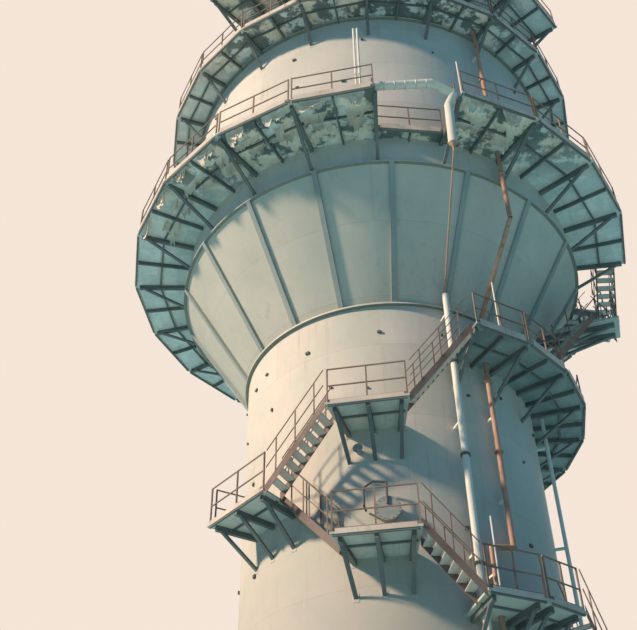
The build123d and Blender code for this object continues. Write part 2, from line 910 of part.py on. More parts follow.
# zig-zag landings: start and end azimuth, outer radius and level of each
landings = [
    (left_start, left_end, landing_radius, left_level),
    (middle_start, middle_end, landing_radius, middle_level),
    (lower_start, lower_end, landing_radius, lower_level),
    (right_start, right_split, landing_radius, right_level),
    (right_split, right_end, landing_radius, right_level),
]
descent_rise = right_level / descent_flights
descent_edge = right_end
descent = []
for number in range(descent_flights):
    high_level = right_level - number * descent_rise
    descent.append((descent_edge, descent_edge + flight_sweep, high_level, high_level - descent_rise))
    descent_edge = descent_edge + flight_sweep
    if number < descent_flights - 1:
        landings.append((descent_edge, descent_edge + landing_sweep, landing_radius, high_level - descent_rise))
        descent_edge = descent_edge + landing_sweep
hung_landings = [
    (hung_first_start, hung_first_end, hung_landing_radius, hung_first_level),
    (hung_second_start, hung_second_end, hung_second_radius, hung_second_level),
]

panels = []
arms = []
guards = []
for start, end, outer, level in landings + hung_landings:
    middle = (start + end) / 2
    arm = bracket(outer - beam_setback, level - deck_thickness, landing_brace_drop)
    panels.append(around(deck_panel(end - start, outer, level), middle))
    arms.extend(copies(arm, [start + landing_bracket_inset, end - landing_bracket_inset]))
    if end - start > flight_sweep:
        arms.append(around(arm, middle))
    guards.append(around(edge_rail(end - start, outer, level), middle))
left_rail_outer = landing_radius - 3 * rail_inset
guards.append(end_rail(left_start, walk_rail_inner, left_rail_outer, left_level, 1))

with BuildPart() as landing_decks:
    add(panels)
    add(pipe_clearance, mode=Mode.SUBTRACT)
save(landing_decks, "landing_decks")

with BuildPart() as landing_brackets:
    add(arms)
save(landing_brackets, "landing_brackets")

with BuildPart() as landing_rails:
    add(guards)
save(landing_rails, "landing_rails")

# zig-zag flights: low point, high point, width and the azimuths they are cut to
flights = [
    (
        at(left_end, outer_lane, left_level),
        at(middle_start, outer_lane, middle_level),
        flight_width,
        left_end,
        middle_start,
    ),
    (
        at(middle_end, outer_lane, middle_level),
        at(walk_start, outer_lane, walk_level),
        flight_width,
        middle_end,
        walk_start,
    ),
    (
        at(lower_start, inner_lane, lower_level),
        at(left_end, inner_lane, left_level),
        narrow_flight_width,
        left_end,
        lower_start,
    ),
    (
        at(right_start, outer_lane, right_level),
        at(lower_end, outer_lane, lower_level),
        flight_width,
        lower_end,
        right_start,
    ),
]
for start, end, high_level, low_level in descent:
    low = at(end, outer_lane, low_level)
    flights.append((low, at(start, outer_lane, high_level), flight_width, start, end))

hung_flights = [
    (
        at(hung_first_start, hung_outer_lane, hung_first_level),
        at(open_start, hung_outer_lane, main_level),
        flight_width,
        open_start,
        hung_first_start,
    ),
    (
        at(hung_second_end, hung_inner_lane, hung_second_level),
        at(hung_first_start, hung_inner_lane, hung_first_level),
        flight_width,
        hung_second_end,
        hung_first_start,
    ),
    (
        at(hung_foot_azimuth, outer_lane, walk_level),
        at(hung_second_start, hung_inner_lane - flight_width, hung_second_level),
        flight_width,
        hung_foot_reach,
        hung_second_start,
    ),
]


def trims(start, end, low_point, gap):
    """Return the wedge a flight is cut to, closed at its lower floor."""
    wedge = sector_prism(start, end, gap)
    if low_point.Z < stair_foot_gap:
        return wedge & above(stair_foot_gap)
    if start == hung_foot_reach:
        return wedge & above(low_point.Z)
    return wedge


def build_flights(rows):
    """Return the side plates, treads and rails of a list of flights."""
    plates = []
    steps = []
    rails = []
    for low, high, width, start, end in rows:
        trim = trims(start, end, low, fit_gap - panel_gap / 2)
        plates.extend(flight_stringers(low, high, width, trim))
        steps.append(flight_treads(low, high, width, trim))
        rails.extend(flight_rails(low, high, width, trims(start, end, low, stair_rail_gap)))
    return plates, steps, rails


zig_plates, zig_steps, zig_rails = build_flights(flights)
with BuildPart() as stair_stringers:
    add(zig_plates)
save(stair_stringers, "stair_stringers")
with BuildPart() as stair_treads:
    add(zig_steps)
save(stair_treads, "stair_treads")
with BuildPart() as stair_rails:
    add(zig_rails)
save(stair_rails, "stair_rails")

hung_plates, hung_steps, hung_rails = build_flights(hung_flights)
with BuildPart() as hung_stringers:
    add(hung_plates)
save(hung_stringers, "hung_stringers")
with BuildPart() as hung_treads:
    add(hung_steps)
save(hung_treads, "hung_treads")
with BuildPart() as hung_stair_rails:
    add(hung_rails)
save(hung_stair_rails, "hung_stair_rails")

# manway with its cover and davit, and a small side nozzle
with BuildPart() as neck:
    with BuildSketch(Plane(origin=(0, 0, manway_level), x_dir=(1, 0, 0), z_dir=(0, -1, 0))):
        Circle(manway_radius)
        Circle(manway_radius - wall, mode=Mode.SUBTRACT)
    extrude(amount=manway_reach)
    add(envelope, mode=Mode.SUBTRACT)
with BuildPart() as manway_neck:
    add(around(neck.part, manway_azimuth))
save(manway_neck, "manway_neck")

with BuildPart() as cover:
    with BuildSketch(Plane(origin=(0, -manway_reach, manway_level), x_dir=(1, 0, 0), z_dir=(0, -1, 0))):
        Circle(manway_flange)
    extrude(amount=manway_flange_height)
with BuildPart() as manway_cover:
    add(around(cover.part, manway_azimuth))
save(manway_cover, "manway_cover")

arm_distance = manway_reach + manway_flange_height + davit_radius
davit_points = [
    at(manway_azimuth - 7, lower_radius + 60, manway_level + 100),
    at(manway_azimuth - 7, arm_distance, manway_level + 100),
    at(manway_azimuth - 7, arm_distance, manway_level + 600),
    at(manway_azimuth - 4, arm_distance, manway_level + 760),
    at(manway_azimuth, arm_distance, manway_level + 700),
    at(manway_azimuth, arm_distance, manway_level + 100),
]
with BuildPart() as davit_arm:
    add(pipe_run(davit_points, davit_radius))
save(davit_arm, "davit_arm")

with BuildPart() as nozzle:
    with BuildSketch(Plane(origin=(0, 0, nozzle_level), x_dir=(1, 0, 0), z_dir=(0, -1, 0))):
        Circle(nozzle_radius)
    extrude(amount=nozzle_reach)
    with BuildSketch(Plane(origin=(0, -nozzle_reach, nozzle_level), x_dir=(1, 0, 0), z_dir=(0, -1, 0))):
        Circle(nozzle_radius + nozzle_flange_width)
    extrude(amount=nozzle_flange_height)
    add(envelope, mode=Mode.SUBTRACT)
with BuildPart() as side_nozzle:
    add(around(nozzle.part, nozzle_azimuth))
save(side_nozzle, "side_nozzle")
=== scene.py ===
"""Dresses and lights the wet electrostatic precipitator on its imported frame."""
import json
import logging
import math
import random
from dataclasses import dataclass
from enum import Enum
from typing import Sequence

import bmesh
import bpy
from mathutils import Matrix, Vector

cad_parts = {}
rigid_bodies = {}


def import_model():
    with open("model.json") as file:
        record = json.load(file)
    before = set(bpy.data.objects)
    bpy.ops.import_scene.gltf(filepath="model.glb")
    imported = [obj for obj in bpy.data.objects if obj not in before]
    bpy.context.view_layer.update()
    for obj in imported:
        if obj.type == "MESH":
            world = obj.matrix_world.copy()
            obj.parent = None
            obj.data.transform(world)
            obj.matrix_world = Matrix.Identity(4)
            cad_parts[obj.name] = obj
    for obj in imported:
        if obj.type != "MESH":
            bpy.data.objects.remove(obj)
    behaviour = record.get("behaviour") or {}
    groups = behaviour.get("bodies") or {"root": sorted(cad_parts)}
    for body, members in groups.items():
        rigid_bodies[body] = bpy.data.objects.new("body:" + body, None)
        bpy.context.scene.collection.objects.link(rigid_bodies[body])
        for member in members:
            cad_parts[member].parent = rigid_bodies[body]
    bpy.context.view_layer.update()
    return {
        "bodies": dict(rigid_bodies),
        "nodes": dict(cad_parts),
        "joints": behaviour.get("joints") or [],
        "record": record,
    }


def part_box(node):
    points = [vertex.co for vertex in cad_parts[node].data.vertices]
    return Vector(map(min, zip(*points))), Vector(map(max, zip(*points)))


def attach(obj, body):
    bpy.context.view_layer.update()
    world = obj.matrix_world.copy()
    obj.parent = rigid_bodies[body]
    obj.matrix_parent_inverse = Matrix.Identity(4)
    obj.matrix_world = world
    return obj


LOG = logging.getLogger("precipitator")
Colour = tuple[float, float, float]
Point = tuple[float, float, float]
Socket = bpy.types.NodeSocket
Outputs = bpy.types.NodeOutputs
Tree = bpy.types.NodeTree
Materials = dict[str, bpy.types.Material]

# The radii of both shells, the degrees of one gallery panel and the thickness of every deck.
LOWER_RADIUS = 4.4
UPPER_RADIUS = 6.65
SECTOR = 360 / 21
DECK_DEPTH = 0.06
UP = Vector((0, 0, 1))


class Slot(Enum):
    """The record's material slots."""

    SHELL = "shell_paint"
    RING = "ring_paint"
    DECK = "deck_plate"
    BRACKET = "bracket_steel"
    RAIL = "rail_steel"
    STAIR = "stair_steel"
    RUSTY = "rusty_pipe"
    WHITE = "white_pipe"
    LAGGING = "lagging"
    FITTING = "fittings"
    BASE = "base_steel"


def at(azimuth: float, distance: float, level: float) -> Vector:
    """Find a point round the vessel.

    Args:
        azimuth: Degrees from the front, growing to the right.
        distance: Metres from the vessel's axis.
        level: Metres above the floor.

    Returns:
        The point in the row frame.
    """
    angle = math.radians(azimuth)
    return Vector((distance * math.sin(angle), -distance * math.cos(angle), level))


@dataclass(frozen=True)
class Walkway:
    """A ring of flat deck panels round the vessel, or one landing."""

    start: float
    sweep: float
    numbers: tuple[int, ...]
    inner: float
    outer: float
    level: float

    @property
    def under(self) -> float:
        """Give the level of the deck's underside."""
        return self.level - DECK_DEPTH

    def edge(self, number: float, shift: float = 0.0) -> float:
        """Give the azimuth of a panel's first edge, or of a place moved from it."""
        return self.start + number * self.sweep + shift

    def edges(self, inset: float) -> list[float]:
        """List the azimuths of its brackets, the first and last a little inside its ends."""
        last = len(self.numbers)
        return [self.edge(0, inset), *map(self.edge, range(1, last)), self.edge(last, -inset)]


MAIN = Walkway(2.0, SECTOR, (*range(1, 5), *range(6, 21)), UPPER_RADIUS, 8.6, 25.5)
RECESS = Walkway(2.0, SECTOR, (0,), UPPER_RADIUS, 7.1, 25.5)
UPPER = Walkway(2.0, SECTOR, tuple(range(21)), UPPER_RADIUS, 7.85, 32.15)
ROOF = Walkway(62 - 6 * SECTOR, SECTOR, tuple(range(6)), UPPER_RADIUS, 8.45, 34.66)
RING = Walkway(25.0, SECTOR, tuple(range(7)), LOWER_RADIUS, 6.05, 18.9)
LANDINGS = tuple(
    Walkway(start, sweep, (0,), LOWER_RADIUS, 5.8, level)
    for start, sweep, level in (
        (-57.0, 24.0, 14.5), (-15.5, 21.5, 16.43), (-15.0, 21.5, 12.77),
        (19.5, 15.5, 11.3), (35.0, 12.0, 11.3), (67.0, 15.0, 9.04),
        (102.0, 15.0, 6.78), (137.0, 15.0, 4.52), (172.0, 15.0, 2.26),
    )
)


class Graph:
    """A node tree with short calls for the nodes this file places."""

    def __init__(self, tree: Tree) -> None:
        """Keep the tree that nodes go into."""
        self.tree = tree
        self.column = 0

    def feed(self, socket: Socket, source: object) -> None:
        """Link a socket to another, or set its plain value.

        Args:
            socket: The input to feed.
            source: An output socket, a number or a colour.
        """
        if isinstance(source, Socket):
            self.tree.links.new(source, socket)
        elif isinstance(source, tuple) and len(source) == 3 and socket.type == "RGBA":
            socket.default_value = (*source, 1.0)
        else:
            socket.default_value = source

    def node(
        self, kind: str, inputs: dict[int | str, object] | None = None, **settings: object
    ) -> bpy.types.Node:
        """Place one node.

        Args:
            kind: The node's type name.
            inputs: What its inputs get, by name or number.
            settings: Attributes to set on it.

        Returns:
            The new node.
        """
        made = self.tree.nodes.new(kind)
        made.location = (180 * self.column, 0)
        self.column += 1
        for name, value in settings.items():
            setattr(made, name, value)
        for key, source in (inputs or {}).items():
            self.feed(made.inputs[key], source)
        return made

    def group(self, tree: Tree, **inputs: object) -> Outputs:
        """Place a shared group and give its outputs."""
        return self.node("ShaderNodeGroup", inputs, node_tree=tree).outputs

    def close(self, **values: object) -> Tree:
        """Feed a group's outputs by name and give its tree."""
        self.node("NodeGroupOutput", values)
        return self.tree

    def math(self, operation: str, *values: object, clamp: bool = False) -> Socket:
        """Place a Math node with one to three inputs; clamp keeps its result between 0 and 1."""
        inputs = dict(enumerate(values))
        return self.node("ShaderNodeMath", inputs, operation=operation, use_clamp=clamp).outputs[0]

    def times(self, first: object, second: object) -> Socket:
        """Multiply two values."""
        return self.math("MULTIPLY", first, second)

    def mix(self, factor: object, first: object, second: object) -> Socket:
        """Mix two colours, where the factor is the share of the second."""
        inputs = {0: factor, 6: first, 7: second}
        return self.node("ShaderNodeMix", inputs, data_type="RGBA").outputs[2]

    def cover(self, colour: object, other: object, mask: object, amount: float) -> Socket:
        """Lay the other colour over a colour where the mask says, as strong as the amount."""
        return self.mix(self.times(mask, amount), colour, other)

    def ramp(self, value: object, low: float, high: float) -> Socket:
        """Stretch a value so that low becomes 0 and high becomes 1, smoothly."""
        inputs = {0: value, 1: low, 2: high}
        return self.node("ShaderNodeMapRange", inputs, interpolation_type="SMOOTHSTEP").outputs[0]

    def split(self, vector: object) -> Outputs:
        """Take a vector apart."""
        return self.node("ShaderNodeSeparateXYZ", {0: vector}).outputs

    def noise(self, vector: object, scale: object, detail: float, rough: float) -> Socket:
        """Place a noise texture with so many finer layers of that strength."""
        inputs = {"Vector": vector, "Scale": scale, "Detail": detail, "Roughness": rough}
        return self.node("ShaderNodeTexNoise", inputs).outputs["Fac"]


@dataclass
class Effects:
    """The shader groups that several finishes share, and the numbers that shape them."""

    wide_share: float = 0.72
    fine_share: float = 0.28
    fine_scale: float = 9.0
    rust_limit: float = 0.78
    rust_spread: float = 0.5
    rust_contrast: float = 9.0
    shade_scale: float = 4.0
    dark_scale: float = 1.7
    low_tone_middle: float = 0.5
    low_tone_sway: float = 5.0

    def __post_init__(self) -> None:
        """Build each group once."""
        self.patches = self.build_patches()
        self.runs = self.build_runs()
        self.speckle = self.build_speckle()
        self.edges = self.build_edges()
        self.plates = self.build_plates()
        self.facing = self.build_facing()
        self.sun_and_dark_blots = self.build_sun_and_dark_blots()
        self.low_tone = self.build_low_tone()

    def start(
        self, name: str, outputs: Sequence[str], vector: bool = True, **values: float
    ) -> tuple[Graph, Outputs]:
        """Open a new group with its sockets.

        Args:
            name: The group's name.
            outputs: The names of its value outputs.
            vector: Whether it is told where it is read.
            values: Its number inputs with their defaults.

        Returns:
            The group's graph, and what the group is given.
        """
        tree = bpy.data.node_groups.new(name, "ShaderNodeTree")
        if vector:
            tree.interface.new_socket("Vector", in_out="INPUT", socket_type="NodeSocketVector")
        for label, value in values.items():
            socket = tree.interface.new_socket(label, in_out="INPUT", socket_type="NodeSocketFloat")
            socket.default_value = value
        for label in outputs:
            tree.interface.new_socket(label, in_out="OUTPUT", socket_type="NodeSocketFloat")
        graph = Graph(tree)
        return graph, graph.node("NodeGroupInput").outputs

    def build_patches(self) -> Tree:
        """Build soft patches of fading and grime.

        Returns:
            The group.
        """
        graph, given = self.start("weather_patches", ("Mask", "Fine"), Scale=0.5)
        wide = graph.noise(given["Vector"], given["Scale"], detail=5.0, rough=0.62)
        scale = graph.times(given["Scale"], self.fine_scale)
        fine = graph.noise(given["Vector"], scale, detail=6.0, rough=0.7)
        wide_part = graph.times(wide, self.wide_share)
        both = graph.math("ADD", wide_part, graph.times(fine, self.fine_share))
        return graph.close(Mask=graph.ramp(both, low=0.36, high=0.64), Fine=fine)

    def build_runs(self) -> Tree:
        """Build streaks that run down an upright surface.

        Returns:
            The group.
        """
        graph, given = self.start("run_streaks", ("Mask",), Across=6.0, Along=0.35)
        inputs = {0: given["Across"], 1: given["Across"], 2: given["Along"]}
        factors = graph.node("ShaderNodeCombineXYZ", inputs)
        inputs = {0: given["Vector"], 1: factors.outputs[0]}
        stretched = graph.node("ShaderNodeVectorMath", inputs, operation="MULTIPLY")
        streak = graph.noise(stretched.outputs[0], scale=1.0, detail=4.0, rough=0.65)
        breakup = graph.noise(given["Vector"], scale=0.45, detail=3.0, rough=0.5)
        lines = graph.ramp(streak, low=0.52, high=0.7)
        return graph.close(Mask=graph.times(lines, graph.ramp(breakup, low=0.38, high=0.66)))

    def build_speckle(self) -> Tree:
        """Build small spots and blooms of rust.

        Returns:
            The group.
        """
        graph, given = self.start("rust_speckle", ("Mask", "Shade"), Scale=5.0, Cover=0.3)
        bloom = graph.noise(given["Vector"], given["Scale"], detail=8.0, rough=0.68)
        spread = graph.times(given["Cover"], self.rust_spread)
        over = graph.math("SUBTRACT", bloom, graph.math("SUBTRACT", self.rust_limit, spread))
        mask = graph.math("MULTIPLY", over, self.rust_contrast, clamp=True)
        scale = graph.times(given["Scale"], self.shade_scale)
        shade = graph.noise(given["Vector"], scale, detail=4.0, rough=0.7)
        return graph.close(Mask=mask, Shade=shade)

    def build_edges(self) -> Tree:
        """Build a mask of worn edges from how a rounded normal leaves the flat one.

        Returns:
            The group.
        """
        graph, given = self.start("worn_edges", ("Mask",), Radius=0.012)
        rounded = graph.node("ShaderNodeBevel", {"Radius": given["Radius"]}, samples=4)
        flat = graph.node("ShaderNodeNewGeometry").outputs["Normal"]
        inputs = {0: rounded.outputs[0], 1: flat}
        dot = graph.node("ShaderNodeVectorMath", inputs, operation="DOT_PRODUCT")
        worn = graph.ramp(graph.math("SUBTRACT", 1.0, dot.outputs["Value"]), low=0.02, high=0.16)
        chips = graph.noise(given["Vector"], scale=14.0, detail=5.0, rough=0.7)
        return graph.close(Mask=graph.times(worn, graph.ramp(chips, low=0.4, high=0.58)))

    def build_plates(self) -> Tree:
        """Build plates set round the axis: their welded joints and their slightly different tones.

        Returns:
            The group.
        """
        graph, given = self.start(
            "round_plates", ("Joint", "Tone"), Radius=LOWER_RADIUS, Width=6.9, Row=2.4, Lying=0.0
        )
        x, y, z = graph.split(given["Vector"])
        turn = graph.math("ARCTAN2", x, y)
        squares = graph.math("MULTIPLY_ADD", y, y, graph.times(x, x))
        reach = graph.math("SUBTRACT", graph.math("SQRT", squares), z)
        second = graph.math("MULTIPLY_ADD", reach, given["Lying"], z)
        inputs = {0: graph.times(turn, given["Radius"]), 1: second}
        unrolled = graph.node("ShaderNodeCombineXYZ", inputs)
        brick = graph.node(
            "ShaderNodeTexBrick",
            {
                "Vector": unrolled.outputs[0],
                "Color1": (0.0, 0.0, 0.0),
                "Color2": (1.0, 1.0, 1.0),
                "Mortar": (0.5, 0.5, 0.5),
                "Scale": 1.0,
                "Mortar Size": 0.009,
                "Mortar Smooth": 0.3,
                "Brick Width": given["Width"],
                "Row Height": given["Row"],
            },
            offset=0.5,
        )
        return graph.close(Joint=brick.outputs["Fac"], Tone=brick.outputs["Color"])

    def build_facing(self) -> Tree:
        """Build masks of what faces up, where dust lies, and what faces down, where shade is
        painted.

        Returns:
            The group.
        """
        graph, _ = self.start("facing", ("Up", "Down"), vector=False)
        height = graph.split(graph.node("ShaderNodeNewGeometry").outputs["Normal"])[2]
        down = graph.times(height, -1.0)
        up = graph.ramp(height, low=0.55, high=0.95)
        return graph.close(Up=up, Down=graph.ramp(down, low=0.55, high=0.95))

    def build_sun_and_dark_blots(self) -> Tree:
        """Build pale blots of painted sunlight and dark blots, both thickest on the side facing the
        front.

        Returns:
            The group.
        """
        graph, given = self.start("sun_patches_and_dark_blots", ("Pale", "Dark"), Scale=1.1, Even=0.16)
        front = graph.ramp(graph.times(graph.split(given["Vector"])[1], -1.0), low=3.6, high=6.4)
        share = graph.math("MAXIMUM", front, given["Even"])
        pale = graph.noise(given["Vector"], given["Scale"], detail=7.0, rough=0.66)
        scale = graph.times(given["Scale"], self.dark_scale)
        dark = graph.noise(given["Vector"], scale, detail=6.0, rough=0.62)
        return graph.close(
            Pale=graph.times(graph.ramp(pale, low=0.48, high=0.56), share),
            Dark=graph.times(graph.ramp(dark, low=0.42, high=0.51), share),
        )

    def build_low_tone(self) -> Tree:
        """Build a mask that grows downwards, with an uneven edge, and darkens the colour there.

        Returns:
            The group.
        """
        graph, given = self.start("darker_downwards", ("Mask",), Low=9.0, High=18.0)
        cloud = graph.noise(given["Vector"], scale=0.3, detail=4.0, rough=0.6)
        sway = graph.math("SUBTRACT", cloud, self.low_tone_middle)
        level = graph.math("MULTIPLY_ADD", sway, self.low_tone_sway, graph.split(given["Vector"])[2])
        above = graph.math("SUBTRACT", given["High"], level)
        span = graph.math("SUBTRACT", given["High"], given["Low"])
        return graph.close(Mask=graph.math("DIVIDE", above, span, clamp=True))


@dataclass(frozen=True)
class Finish:
    """One painted, rusted or jacketed surface, how it has weathered, and any shade or sunlight
    painted on it.
    """

    name: str
    clean: Colour
    faded: Colour
    streak: Colour = (0.16, 0.1, 0.06)
    rust: Colour = (0.24, 0.085, 0.035)
    rust_lift: float = 1.7
    bare: Colour = (0.3, 0.17, 0.1)
    dust: Colour = (0.42, 0.4, 0.36)
    patch_scale: float = 0.35
    fine_amount: float = 0.16
    fine_rough: float = 0.12
    streak_amount: float = 0.45
    streak_across: float = 5.0
    streak_along: float = 0.3
    rust_amount: float = 0.5
    rust_scale: float = 4.0
    rust_cover: float = 0.2
    rust_rough: float = 0.25
    rust_height: float = 0.8
    edge_amount: float = 0.7
    edge_radius: float = 0.01
    dust_amount: float = 0.35
    # Share of the streak colour laid on downward faces as painted shade.
    under: float = 0.0
    roughness: float = 0.62
    metallic: float = 0.0
    grain_scale: float = 60.0
    bump: float = 0.25
    depth: float = 0.004
    plate_radius: float = 0.0
    plate_width: float = 6.9
    plate_row: float = 2.4
    lying: float = 0.0
    plate_tone: float = 0.2
    joint_amount: float = 0.4
    joint_height: float = 2.0
    # Colour of the pale blots of painted sunlight.
    pale: Colour | None = None
    pale_amount: float = 0.8
    dark: Colour = (0.08, 0.11, 0.105)
    dark_amount: float = 0.85
    blot_scale: float = 1.1
    blot_even: float = 0.16
    gloss: float = 0.35
    low_tone: Colour = (0.3, 0.29, 0.25)
    low_tone_amount: float = 0.0
    low_tone_low: float = 9.0
    low_tone_high: float = 18.0

    def build(self, effects: Effects) -> bpy.types.Material:
        """Build the material.

        Args:
            effects: The shared groups.

        Returns:
            The finished material.
        """
        material = bpy.data.materials.new(self.name)
        material.use_nodes = True
        material.node_tree.nodes.clear()
        graph = Graph(material.node_tree)
        where = graph.node("ShaderNodeTexCoord").outputs["Object"]
        patch = graph.group(effects.patches, Vector=where, Scale=self.patch_scale)
        colour = graph.mix(patch["Mask"], self.clean, self.faded)
        fine = graph.ramp(patch["Fine"], low=0.3, high=0.7)
        colour = graph.cover(colour, self.streak, fine, self.fine_amount)
        height = graph.noise(where, self.grain_scale, detail=3.0, rough=0.6)
        if self.plate_radius:
            plates = graph.group(
                effects.plates, Vector=where, Radius=self.plate_radius, Width=self.plate_width,
                Row=self.plate_row, Lying=self.lying,
            )
            colour = graph.cover(colour, self.streak, plates["Tone"], self.plate_tone)
            colour = graph.cover(colour, self.streak, plates["Joint"], self.joint_amount)
            height = graph.math("ADD", height, graph.times(plates["Joint"], self.joint_height))
        # Pale blots are painted sunlight and dark blots darken the colour, both thickest at the
        # front.
        if self.pale:
            sun_and_dark_blots = graph.group(
                effects.sun_and_dark_blots, Vector=where, Scale=self.blot_scale, Even=self.blot_even
            )
            colour = graph.cover(colour, self.dark, sun_and_dark_blots["Dark"], self.dark_amount)
            colour = graph.cover(colour, self.pale, sun_and_dark_blots["Pale"], self.pale_amount)
        runs = graph.group(
            effects.runs, Vector=where, Across=self.streak_across, Along=self.streak_along
        )
        colour = graph.cover(colour, self.streak, runs["Mask"], self.streak_amount)
        # Darker towards the bottom, where the mask grows.
        if self.low_tone_amount:
            low = graph.group(effects.low_tone, Vector=where, Low=self.low_tone_low, High=self.low_tone_high)
            colour = graph.cover(colour, self.low_tone, low["Mask"], self.low_tone_amount)
        facing = graph.group(effects.facing)
        colour = graph.cover(colour, self.dust, facing["Up"], self.dust_amount)
        # Painted shade: faces that look down take the streak colour.
        if self.under:
            colour = graph.cover(colour, self.streak, facing["Down"], self.under)
        spots = graph.group(
            effects.speckle, Vector=where, Scale=self.rust_scale, Cover=self.rust_cover
        )
        bright = tuple(self.rust_lift * part for part in self.rust)
        rust_share = graph.times(spots["Mask"], self.rust_amount)
        colour = graph.mix(rust_share, colour, graph.mix(spots["Shade"], self.rust, bright))
        if self.edge_amount:
            edges = graph.group(effects.edges, Vector=where, Radius=self.edge_radius)
            colour = graph.cover(colour, self.bare, edges["Mask"], self.edge_amount)
        rough = graph.math("MULTIPLY_ADD", rust_share, self.rust_rough, self.roughness)
        rough = graph.math("MULTIPLY_ADD", patch["Fine"], self.fine_rough, rough, clamp=True)
        height = graph.math("ADD", height, graph.times(spots["Mask"], self.rust_height))
        bump = graph.node(
            "ShaderNodeBump", {"Strength": self.bump, "Distance": self.depth, "Height": height}
        )
        shader = graph.node(
            "ShaderNodeBsdfPrincipled",
            {
                "Base Color": colour,
                "Roughness": rough,
                "Metallic": self.metallic,
                "Specular IOR Level": self.gloss,
                "Normal": bump.outputs[0],
            },
        )
        graph.node("ShaderNodeOutputMaterial", {"Surface": shader.outputs[0]})
        return material


